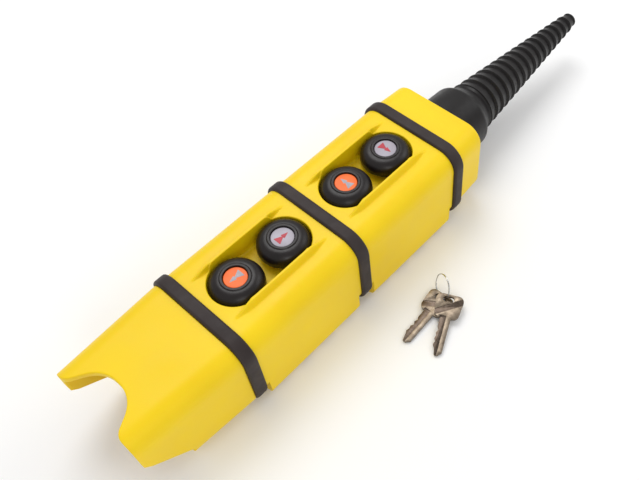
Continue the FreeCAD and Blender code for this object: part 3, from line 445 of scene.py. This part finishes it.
def scallopHeight(y):
    # four shallow hollows across the back grip, with a narrow land between neighbours
    pitch = 2 * module["gripHalf"] / module["scallops"]
    chord = (pitch - module["gripLand"]) / 2
    radius = (chord ** 2 + module["scallopDepth"] ** 2) / (2 * module["scallopDepth"])
    away = abs((y + module["gripHalf"]) % pitch - pitch / 2)
    return max(0.0, math.sqrt(max(radius ** 2 - away ** 2, 0)) - radius + module["scallopDepth"])


def makeModule(node):
    low, high = span(node)
    centre = (low.y + high.y) / 2
    length = (high.y - low.y) / 2
    flat = halfSection()[0][0]
    well = module["wellRadius"]
    reach = module["pitch"] / 2
    grip = module["gripHalf"]
    step = module["gripStep"]
    beyond = evenly(reach, grip - step, 20) + [grip + step, (grip + length) / 2, length]
    sideY = [-y for y in reversed(beyond)] + evenly(-reach, reach, 40)[1:-1] + beyond
    endX = evenly(flat, -flat, 44)[1:-1]
    loop = [(flat, y) for y in sideY] + [(x, length) for x in endX]
    loop += [(-flat, y) for y in reversed(sideY)] + [(-x, -length) for x in endX]

    def nearWell(point, offset):
        middle = min(max(point[1], -reach), reach)
        out = Vector((point[0], point[1] - middle)).normalized() * (well + offset)
        return out.x, out.y + middle

    floor = module["wellFloor"]
    foot = module["floorFillet"]
    edge = module["edgeFillet"]
    rows = []
    for turn in evenly(0, math.pi / 2, 6):
        rows.append([(*nearWell(point, foot * (math.sin(turn) - 1)), floor + foot * (1 - math.cos(turn)))
                     for point in loop])
    tops = [frontZ + lipHeight(*nearWell(point, edge)) for point in loop]
    for share in evenly(0, 1, 6)[1:]:
        rows.append([(*nearWell(point, 0), floor + foot + (top - edge - floor - foot) * share)
                     for point, top in zip(loop, tops)])
    for turn in evenly(0, math.pi / 2, 5)[1:]:
        rows.append([(*nearWell(point, edge * (1 - math.cos(turn))), top - edge * (1 - math.sin(turn)))
                     for point, top in zip(loop, tops)])
    for share in evenly(0, 1, module["faceRings"])[1:]:
        row = []
        for point in loop:
            x, y = mix(nearWell(point, edge), point, share)
            row.append((x, y, frontZ + lipHeight(x, y)))
        rows.append(row)
    bm = bmesh.new()
    rowsMesh(bm, [[(x, y + centre, z) for x, y, z in row] for row in rows])
    holes = [circle((0, centre + side * reach), module["holeRadius"], 48, floor) for side in (-1, 1)]
    flatFill(bm, [[(x, y + centre, z) for x, y, z in rows[0]]] + holes)
    shell = []
    for y in sideY:
        if abs(y) < grip:
            section = openSection(backZ=0.0, backRadius=housing["gripRadius"], floor=scallopHeight(y))
        else:
            section = openSection()
        shell.append([(x, y + centre, z) for x, z in section])
    rowsMesh(bm, shell, wrapColumns=False)
    name = node.split("_")[0] + "Module"
    piece = startPiece(name, bm, "housing", "yellowPlastic", (node,))
    addModifier(piece, "SOLIDIFY", thickness=module["skin"] * mm, offset=-1, use_even_offset=False)
    settleMesh(piece, 42)


for node in ("lower_module", "upper_module"):
    makeModule(node)
print("button modules built")


# seal bands

band = {"proud": 2.3, "rim": 1.9, "seat": -2.0, "arcSteps": 6}


def makeBand(node):
    low, high = span(node)
    outline = roundedPath([(low.y, band["seat"]), (low.y, band["proud"]), (high.y, band["proud"]),
                           (high.y, band["seat"])], [0, band["rim"], band["rim"], 0], band["arcSteps"])
    rows = [[(x, y, z) for x, z in closedSection(offset=offset)] for y, offset in outline]
    bm = bmesh.new()
    rowsMesh(bm, rows, wrapRows=True)
    name = node.split("_")[0] + "Band"
    settleMesh(startPiece(name, bm, "housing", "sealRubber", (node,)))


for node in ("lower_band", "middle_band", "upper_band"):
    makeBand(node)
print("seal bands built")


# hood; its heel, heelFoot and obliqueLow are each a height and a step from the back edge's end

hood = {"taper": 4.4, "backZ": 6.0, "backLength": 46.5, "wall": 4.4, "rim": 0.7, "rows": 36, "beyond": 90.0,
        "obliqueLow": (19.5, 1.6), "obliqueHigh": 41.0, "obliqueRadius": 6.0,
        "heel": (14.0, 1.5), "heelFoot": (15.2, 0.6), "heelRounds": (1.4, 0.6, 0.8),
        "notchDepth": 20.0, "notchFront": 8.0, "mouthHalf": 25.0, "mouthRadius": 8.0, "archHalf": 13.0,
        "archRadius": 20.0, "partition": 4.0, "wallInset": 0.3, "lockHole": 11.05, "rodHole": 2.05,
        "rodEdge": 2.0, "frontRodSpread": 32.5}


def interpolate(value, path):
    # the second coordinate of a path at a value of its first, which only rises
    for (start, low), (end, high) in zip(path, path[1:]):
        if start <= value <= end:
            return low + (high - low) * ((value - start) / (end - start) if end > start else 0)
    return path[0][1] if value < path[0][0] else path[-1][1]


def makeHood():
    low, high = span("hood")
    start, end = high.y, low.y
    backEnd = start - hood["backLength"]
    beyond = hood["beyond"]
    arch = end + hood["notchDepth"]
    # where the mouth ends: across the front from side to side, and up the side from the back
    notch = roundedPath([(-beyond, end), (-hood["mouthHalf"], end), (-hood["archHalf"], arch),
                         (hood["archHalf"], arch), (hood["mouthHalf"], end), (beyond, end)],
                        [0, hood["mouthRadius"], hood["archRadius"], hood["archRadius"],
                         hood["mouthRadius"], 0], 12, closed=False)
    heelZ, heelReach = hood["heel"]
    footZ, footRise = hood["heelFoot"]
    lowZ, lowReach = hood["obliqueLow"]
    side = roundedPath([(-beyond, backEnd - heelReach), (heelZ, backEnd - heelReach),
                        (footZ, backEnd + footRise), (lowZ, backEnd - lowReach),
                        (hood["obliqueHigh"], end), (beyond, end)],
                       [0, *hood["heelRounds"], hood["obliqueRadius"], 0], 8, closed=False)
    wide = closedSection(backZ=hood["backZ"])
    narrow = closedSection(backZ=hood["backZ"], narrower=hood["taper"])

    def mouthAt(x, z):
        inFront = interpolate(x, notch) if z > frontZ - hood["notchFront"] else end
        return max(inFront, interpolate(z, side))

    columns = []
    for first, last in zip(wide, narrow):
        reachY = end
        for attempt in range(3):  # the taper moves the place that the mouth is read at
            share = (start - reachY) / (start - end)
            reachY = mouthAt(*mix(first, last, share))
        places = []
        for y in evenly(start, reachY, hood["rows"]):
            x, z = mix(first, last, (start - y) / (start - end))
            places.append((x, y, z))
        columns.append(places)
    bm = bmesh.new()
    rowsMesh(bm, [list(row) for row in zip(*columns)])
    piece = startPiece("hoodShell", bm, "housing", "yellowPlastic", ("hood",))
    addModifier(piece, "SOLIDIFY", thickness=hood["wall"] * mm, offset=-1, use_even_offset=True)
    addModifier(piece, "BEVEL", width=hood["rim"] * mm, segments=3, limit_method="ANGLE",
                angle_limit=math.radians(60))
    settleMesh(piece, 42)
    # the wall that carries the key switch, with its holes
    inside = closedSection(offset=hood["wallInset"] - hood["wall"], backZ=hood["backZ"])
    lock = span("key_switch_body")
    bm = bmesh.new()
    loops = [[(x, start, z) for x, z in inside],
             circle((0, (lock[0].z + lock[1].z) / 2), hood["lockHole"], 64, start, "y")]
    rods = span("tie_rods")
    edge = hood["rodEdge"]
    for x in (-1, 1):
        for z, spread in ((rods[1].z - edge, hood["frontRodSpread"]), (rods[0].z + edge, rods[1].x - edge)):
            loops.append(circle((x * spread, z), hood["rodHole"], 24, start, "y"))
    flatFill(bm, loops)
    wall = startPiece("hoodPartition", bm, "housing", "yellowPlastic")
    for polygon in wall.data.polygons:
        if polygon.normal.y < 0:
            polygon.flip()
    addModifier(wall, "SOLIDIFY", thickness=hood["partition"] * mm, offset=-1)
    settleMesh(wall)


makeHood()
print("hood built")


# head cap

headCap = {"taper": 1.7, "edge": 0.9, "neckHole": 20.05, "endWall": 3.5, "rows": 14}


def sleeveAxis():
    low, high = span("cable_sleeve")
    return (low.z + high.z) / 2


def makeHeadCap():
    low, high = span("head_cap")
    axisZ = sleeveAxis()

    def narrowing(y):
        return headCap["taper"] * (y - low.y) / (high.y - low.y)

    rows = []
    edge = headCap["edge"]
    for y in evenly(low.y, high.y - edge, headCap["rows"]):
        rows.append([(x, y, z) for x, z in closedSection(narrower=narrowing(y))])
    for turn in evenly(0, math.pi / 2, 4)[1:]:
        y = high.y - edge * (1 - math.sin(turn))
        section = closedSection(narrower=narrowing(y), offset=-edge * (1 - math.cos(turn)))
        rows.append([(x, y, z) for x, z in section])
    rim = rows[-1]
    neck = []
    for x, y, z in rim:
        out = Vector((x, z - axisZ)).normalized() * headCap["neckHole"]
        neck.append((out.x, y, out.y + axisZ))
    for share in evenly(0, 1, 6)[1:]:
        rows.append([mix(a, b, share) for a, b in zip(rim, neck)])
    rows.append([(x, y - headCap["endWall"], z) for x, y, z in neck])
    bm = bmesh.new()
    rowsMesh(bm, rows)
    piece = startPiece("headCapShell", bm, "housing", "yellowPlastic", ("head_cap",))
    addModifier(piece, "SOLIDIFY", thickness=module["skin"] * mm, offset=-1, use_even_offset=False)
    settleMesh(piece, 42)


makeHeadCap()
print("head cap built")


# push buttons; the gully round the rim is an outer and an inner radius and a depth

button = {"radius": 17.8, "wall": 2.4, "insertRadius": 7.7, "skirtRound": 0.5, "rim": 9.7, "dome": 10.5,
          "domeDrop": 7.8, "rimStep": 0.5, "gully": (10.4, 10.2, 0.12), "rimLip": 0.3,
          "rimRounds": (0.1, 0.5, 0.4), "insertGap": 0.05, "crown": 0.06, "insertRound": 0.5,
          "arrow": ((-4.9, 3.1), (0.1, 0.55), (0.3, 1.75), (5.1, 0)), "arrowRound": (0.25, 0.2, 0.15, 0.2),
          "arrowProud": 0.07, "arrowThick": 0.3,
          "turns": {"down": -90, "up": 90, "left": 180, "right": 0},
          "insert": {"down": ("orange_insert", "orangePlastic", "arrowGrey"),
                     "up": ("grey_insert", "greyPlastic", "arrowCrimson"),
                     "left": ("orange_insert", "orangePlastic", "arrowGrey"),
                     "right": ("grey_insert", "greyPlastic", "arrowCrimson")}}


def makeButton(name):
    low, high = span(name + "_button_cap")
    insertLow, insertHigh = span(name + "_button_insert")
    centre = ((low.x + high.x) / 2, (low.y + high.y) / 2)
    body = name + "_button"
    radius = button["radius"]
    inner = radius - button["wall"]
    crest = high.z
    window = button["insertRadius"] + button["insertGap"]
    dome, drop = button["dome"], button["domeDrop"]
    skirt = cornerArc((inner, low.z), (radius, low.z), (radius, crest), button["skirtRound"], 4)
    profile = [(inner, low.z)] + skirt
    for turn in evenly(0, math.pi / 2, 16):
        profile.append((dome + (radius - dome) * math.cos(turn),
                        crest - drop + (drop - button["rimStep"]) * math.sin(turn)))  # dome down to the skirt
    step = crest - button["rimStep"]
    gullyOut, gullyIn, gullyDeep = button["gully"]
    corners = [(gullyOut, step), (gullyIn, step - gullyDeep), (button["rim"], crest),
               (window + button["rimLip"], crest), (window, insertLow.z), (inner, insertLow.z)]
    profile += roundedPath(corners, [0, *button["rimRounds"], 0, 0], 5, closed=False)
    makeTurned(name + "Cap", profile, centre, body, "capRubber", (name + "_button_cap",))
    slot, plastic, ink = button["insert"][name]
    top = insertHigh.z
    face = button["insertRadius"]
    brink = top - button["crown"]
    profile = [(0, top), (face / 2, top - button["crown"] / 3)]
    profile += cornerArc((0, brink), (face, brink), (face, insertLow.z), button["insertRound"], 5)
    profile += [(face, insertLow.z), (0, insertLow.z)]
    makeTurned(name + "Insert", profile, centre, body, plastic, (name + "_button_insert",))
    makeArrow(name, centre, top, body, ink)


def makeArrow(name, centre, top, body, ink):
    # a broad triangle with a smaller arrowhead leading it
    half = list(button["arrow"])
    rounds = list(button["arrowRound"])
    outline = half + [(x, -y) for x, y in reversed(half[:-1])]
    path = roundedPath(outline, rounds + rounds[-2::-1], 3)
    turn = Matrix.Rotation(math.radians(button["turns"][name]), 3, "Z")
    bm = bmesh.new()
    place = Vector((*centre, top + button["arrowProud"]))
    flatFill(bm, [[tuple(turn @ Vector((x, y, 0)) + place) for x, y in path]])
    piece = startPiece(name + "Arrow", bm, body, ink)
    for polygon in piece.data.polygons:
        if polygon.normal.z < 0:
            polygon.flip()
    addModifier(piece, "SOLIDIFY", thickness=button["arrowThick"] * mm, offset=-1)
    settleMesh(piece)


# a spring's two ends take closedShare of its turns each and rise little

spring = {"wire": 1.0, "turns": 3.5, "closedShare": 0.14, "openShare": 0.8, "steps": 168, "sides": 10,
          "travel": 4.5}


def makeSpring(name):
    # round wire coil with closed ends, at its rest length
    low, high = span(name + "_button_spring")
    centre = (low + high) / 2
    radius = (high.x - low.x - spring["wire"]) / 2
    wire = spring["wire"] / 2
    rows = []
    for step in range(spring["steps"] + 1):
        share = step / spring["steps"]
        turn = 2 * math.pi * spring["turns"] * share
        free = smoothStep((share - spring["closedShare"]) / (1 - 2 * spring["closedShare"]))
        rise = spring["openShare"] * free + (1 - spring["openShare"]) * share
        level = low.z + wire + (high.z - low.z - 2 * wire) * rise
        out = Vector((math.cos(turn), math.sin(turn), 0))
        middle = Vector((centre.x, centre.y, level)) + out * radius
        rows.append(wireLoop(middle, out, wire, spring["sides"]))
    node = name + "_button_spring"
    piece = startPiece(name + "Spring", wireMesh(rows), "housing", "springSteel", (node,))
    settleMesh(piece, 50)
    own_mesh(piece)


for name in buttonNames:
    makeButton(name)
    makeSpring(name)
print("push buttons built")


# cable sleeve; its collar ends in a slope from an outer to an inner radius over a length

sleeve = {"collarLength": 37.0, "collarRadius": 27.0, "collarShrink": 1.2, "shoulder": 7.5,
          "collarEnd": (21.0, 19.0, 4.0), "collarRounds": (0.6, 6.0, 1.5),
          "ribs": 16, "ribStart": 43.5, "ribPitch": 8.63, "firstCrest": 20.4, "lastCrest": 7.6,
          "ribDepth": 1.55, "fallShare": 0.88, "samples": 16,
          "tipRadius": 6.7, "tipRounds": (0.5, 0.4), "tipLand": 1.2, "bore": 4.9, "grip": 15.0,
          "boreStep": (0.3, 1.0), "boreFlare": 6.0, "baseBore": 15.0,
          "neck": 20.0, "flange": 24.0, "flangeThick": 3.0}


def makeSleeve():
    low, high = span("cable_sleeve")
    face = span("head_cap")[1].y
    tip = high.y
    collarEnd = face + sleeve["collarLength"]
    rim = sleeve["collarRadius"] - sleeve["collarShrink"]
    shoulder = collarEnd - sleeve["shoulder"]
    flangeY = low.y + sleeve["flangeThick"]
    profile = [(sleeve["baseBore"], low.y), (sleeve["flange"], low.y), (sleeve["flange"], flangeY),
               (sleeve["neck"], flangeY), (sleeve["neck"], face)]
    endOuter, endInner, endReach = sleeve["collarEnd"]
    corners = [(sleeve["neck"], face), (sleeve["collarRadius"], face), (rim, shoulder),
               (endOuter, collarEnd), (endInner, collarEnd + endReach)]
    profile += roundedPath(corners, [0, *sleeve["collarRounds"], 0], 8, closed=False)[1:]
    depth = sleeve["ribDepth"]

    def crestOf(rib):
        share = rib / (sleeve["ribs"] - 1)
        return sleeve["firstCrest"] + (sleeve["lastCrest"] - sleeve["firstCrest"]) * share

    for rib in range(-1, sleeve["ribs"]):
        here = crestOf(rib)
        ahead = crestOf(rib + 1)
        root = ahead - depth
        start = face + sleeve["ribStart"] + sleeve["ribPitch"] * rib
        for sample in range(sleeve["samples"]):
            share = sample / sleeve["samples"]
            place = start + sleeve["ribPitch"] * share
            if rib < 0 and share < sleeve["fallShare"]:
                continue
            if place > tip - sleeve["tipLand"]:
                continue
            if share < sleeve["fallShare"]:
                fall = share / sleeve["fallShare"]
                radius = here + (root - here) * fall
            elif rib == sleeve["ribs"] - 1:
                continue
            else:
                rise = (share - sleeve["fallShare"]) / (1 - sleeve["fallShare"])
                radius = root + (ahead - root) * rise
            profile.append((radius, place))
    bore = sleeve["bore"]
    gripEnd = tip - sleeve["grip"]
    wider, lower = sleeve["boreStep"]
    corners = [profile[-1], (sleeve["tipRadius"], tip), (bore, tip), (bore, gripEnd)]
    profile += roundedPath(corners, [0, *sleeve["tipRounds"], 0], 5, closed=False)[1:]
    profile += [(bore + wider, gripEnd - lower), (sleeve["baseBore"], collarEnd - sleeve["boreFlare"])]
    makeTurned("cableSleeve", profile, (0, sleeveAxis()), "housing", "sleeveRubber",
               ("cable_sleeve",), axis="y", segments=112)


makeSleeve()
print("cable sleeve built")


# keys and ring; a stripe is two ends, a width and a depth, and a groove is a middle, a width and a depth

key = {"thick": 2.0, "headHalf": 10.2, "headNear": 8.3, "headLength": 18.0, "headCorner": 4.0, "blade": 3.7,
       "bladeLength": 27.9, "holeInset": 3.9, "holeShift": 0.9, "holeHalf": 2.2, "holeLength": 3.6,
       "tipChamfer": 2.6, "tipRounds": (0.5, 0.4, 0.4), "neckRound": 0.6, "notches": 4,
       "bittingDepth": 1.4, "bittingStep": 0.25, "bittingPitch": 4.4, "bittingSpots": (0.6, 1.1),
       "bittingRound": 0.3, "edge": 0.22, "tipRest": 0.1, "cutClear": 1.0,
       "stripe": ((-12.0, -13.6), (12.0, 1.8), 4.3, 0.35), "groove": (-1.9, 4.8, 0.5),
       "grooveEnds": (2.0, 1.5),
       "places": {"key_under": (80.6, 35.8, 1.55, 2.0, 1),  # x, y, lift, turn and shift of the notches
                  "key_over": (87.3, 37.4, 4.95, 25.0, 0)}}


def makeCutter(name, corners, depth):
    # a loose block that cuts the outline into a key's face
    bm = bmesh.new()
    flatFill(bm, [[(x, y, key["thick"] - depth) for x, y in corners]])
    mesh = bpy.data.meshes.new(name)
    raiseFaces(bm, depth + key["cutClear"])
    bmesh.ops.recalc_face_normals(bm, faces=bm.faces)
    bm.to_mesh(mesh)
    bm.free()
    tool = bpy.data.objects.new(name, mesh)
    bpy.context.scene.collection.objects.link(tool)
    return tool


def makeKey(node):
    x, y, lift, turn, flip = key["places"][node]
    foot = key["holeInset"] - key["headLength"]
    tip = foot - key["bladeLength"]
    blade = key["blade"]
    chamfer = key["tipChamfer"]
    corners = [(-key["headHalf"], key["holeInset"]), (key["headHalf"], key["holeInset"]),
               (key["headNear"], foot), (blade, foot), (blade, tip + chamfer), (blade - chamfer, tip),
               (chamfer - blade, tip)]
    radii = [key["headCorner"]] * 3 + [key["neckRound"], *key["tipRounds"]]
    cut, end = key["bittingSpots"]
    for notch in range(key["notches"]):
        deep = key["bittingDepth"] * (1 - key["bittingStep"] * ((notch + flip) % 3)) - blade
        corners.append((deep, tip + chamfer + key["bittingPitch"] * (notch + cut)))
        corners.append((-blade, tip + chamfer + key["bittingPitch"] * (notch + end)))
        radii += [key["bittingRound"]] * 2
    corners += [(-blade, foot), (-key["headNear"], foot)]
    radii += [key["neckRound"], key["headCorner"]]
    outline = roundedPath(corners, radii, 5)
    reach = key["holeLength"] / 2
    hole = []
    for step in range(32):
        angle = 2 * math.pi * step / 32
        shift = reach if math.cos(angle) >= 0 else -reach
        hole.append((shift - key["holeShift"] + key["holeHalf"] * math.cos(angle),
                     key["holeHalf"] * math.sin(angle), 0))
    bm = bmesh.new()
    flatFill(bm, [[(a, b, 0) for a, b in outline], hole])
    raiseFaces(bm, key["thick"])
    body = {"key_under": "lower_key", "key_over": "upper_key"}[node]
    name = node.split("_")[1] + "Key"
    piece = startPiece(name, bm, body, "keyNickel", (node,))
    first, last, width, depth = key["stripe"]
    along = (Vector(last) - Vector(first)).normalized()
    across = Vector((-along.y, along.x)) * width / 2
    stripe = [Vector(first) + across, Vector(last) + across, Vector(last) - across, Vector(first) - across]
    middle, grooveWidth, grooveDepth = key["groove"]
    left, right = middle - grooveWidth / 2, middle + grooveWidth / 2
    tipEnd, headEnd = tip - key["grooveEnds"][0], foot + key["grooveEnds"][1]
    milled = [(left, tipEnd), (right, tipEnd), (right, headEnd), (left, headEnd)]
    tools = [makeCutter("stripeCutter", [tuple(v) for v in stripe], depth),
             makeCutter("grooveCutter", milled, grooveDepth)]
    for tool in tools:
        addModifier(piece, "BOOLEAN", operation="DIFFERENCE", object=tool, solver="EXACT")
    addModifier(piece, "BEVEL", width=key["edge"] * mm, segments=2, limit_method="ANGLE",
                angle_limit=math.radians(40))
    settleMesh(piece, 30)
    for tool in tools:
        bpy.data.objects.remove(tool)
    # the floors of the stripe and groove get the darker recess finish, which is painted shade
    piece.data.materials.append(materials["keyRecessPaintedShade"])
    for polygon in piece.data.polygons:
        sunk = key["thick"] - polygon.center.z / mm
        if min(abs(sunk - depth), abs(sunk - grooveDepth)) < 0.03 and polygon.normal.z > 0.9:
            polygon.material_index = 1
    slope = math.asin((lift - key["tipRest"]) / (-tip))
    laid = Matrix.Translation(Vector((x, y, lift)) * mm) @ Matrix.Rotation(math.radians(turn), 4, "Z")
    piece.data.transform(laid @ Matrix.Rotation(slope, 4, "X"))


ring = {"radius": 9.0, "reach": 0.55, "wire": 0.33, "x": 77.4, "y": 41.0, "rest": 0.05, "turn": 151.5,
        "lean": 107.7, "coils": 1.9, "crossStart": 0.42, "crossSpan": 0.16, "endThin": 0.35,
        "steps": 150, "sides": 10}


def makeRing():
    # a split ring: nearly two turns of fine wire side by side
    rows = []
    room = ring["reach"] - ring["wire"]
    for step in range(ring["steps"] + 1):
        share = step / ring["steps"]
        turn = 2 * math.pi * ring["coils"] * share
        away = room * (2 * smoothStep((share - ring["crossStart"]) / ring["crossSpan"]) - 1)
        out = Vector((math.cos(turn), math.sin(turn), 0))
        middle = out * ring["radius"] + Vector((0, 0, away))
        thin = ring["endThin"] if step in (0, ring["steps"]) else 1.0
        rows.append(wireLoop(middle, out, ring["wire"] * thin, ring["sides"]))
    piece = startPiece("splitRing", wireMesh(rows), "ring", "wireSteel", ("key_ring",))
    settleMesh(piece, 50)
    height = ring["radius"] * math.sin(math.radians(ring["lean"])) + ring["reach"] + ring["rest"]
    laid = Matrix.Translation(Vector((ring["x"], ring["y"], height)) * mm)
    laid = laid @ Matrix.Rotation(math.radians(ring["turn"]), 4, "Z")
    piece.data.transform(laid @ Matrix.Rotation(math.radians(ring["lean"]), 4, "X"))


for node in ("key_under", "key_over"):
    makeKey(node)
makeRing()
print("keys and ring built")


# finishes for the pieces that keep their engineering shape

finishOf = {"lower_contact_rail": "zincSteel", "upper_contact_rail": "zincSteel",
            "terminal_screws": "nickelBrass", "tie_rods": "zincSteel", "tie_rod_nuts": "zincSteel",
            "key_switch_body": "lockChrome", "key_switch_nut": "zincSteel", "key_switch_rotor": "lockChrome",
            "key_switch_contacts": "contactPlastic", "sleeve_ring": "zincSteel",
            "cable_clamp_saddle": "innerPlastic", "cable_clamp_bar": "innerPlastic",
            "cable_clamp_screws": "zincSteel"}
for name in buttonNames:
    finishOf.update({name + "_button_plunger": "innerPlastic", name + "_button_bush": "innerPlastic",
                     name + "_button_nut": "innerPlastic", name + "_contact_block": "contactPlastic"})
for node, finish in finishOf.items():
    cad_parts[node].data.materials.clear()
    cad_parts[node].data.materials.append(materials[finish])
print("finishes set:", len(finishOf))


# floor and light; a light is a place, a size and a power

studio = {"floorSize": 3.0, "floorGap": 0.0002, "floorColour": (0.95, 0.95, 0.95),
          "worldColour": (1.0, 1.0, 1.0), "world": 0.66, "aim": (0, 0.03, 0.04),
          "lights": {"keyLight": ((-0.50, 0.30, 1.10), 0.8, 6.0), "fillLight": ((0.9, -0.6, 0.8), 0.5, 2.0),
                     "backLight": ((0.35, 1.1, 0.9), 0.8, 2.5)}}


def makeStudio():
    bm = bmesh.new()
    bmesh.ops.create_grid(bm, x_segments=8, y_segments=8, size=studio["floorSize"] / 2)
    mesh = bpy.data.meshes.new("studioFloor")
    bm.to_mesh(mesh)
    bm.free()
    floor = bpy.data.objects.new("studioFloor", mesh)
    floor.location.z = cadBounds[0][2] - studio["floorGap"]
    bpy.context.scene.collection.objects.link(floor)
    paper, shader = startMaterial("paperFloor", 0.8)
    tone = studio["floorColour"]
    cloud = objectNoise(paper, 3, 2)
    shade = rampColours(paper, cloud, ((0.3, tone), (0.7, tuple(c * 1.02 for c in tone))))
    paper.node_tree.links.new(shade, shader.inputs["Base Color"])
    mesh.materials.append(paper)
    world = bpy.data.worlds.new("studioWorld")
    world.use_nodes = True
    sky = world.node_tree.nodes["Background"]
    sky.inputs["Color"].default_value = (*studio["worldColour"], 1)
    sky.inputs["Strength"].default_value = studio["world"]
    bpy.context.scene.world = world
    aim = Vector(studio["aim"])
    for name, (place, size, power) in studio["lights"].items():
        data = bpy.data.lights.new(name, "AREA")
        data.shape = "DISK"
        data.size = size
        data.energy = power
        lamp = bpy.data.objects.new(name, data)
        lamp.location = place
        lamp.rotation_euler = (aim - Vector(place)).to_track_quat("-Z", "Y").to_euler()
        bpy.context.scene.collection.objects.link(lamp)


makeStudio()
print("studio set")

bpy.context.view_layer.update()
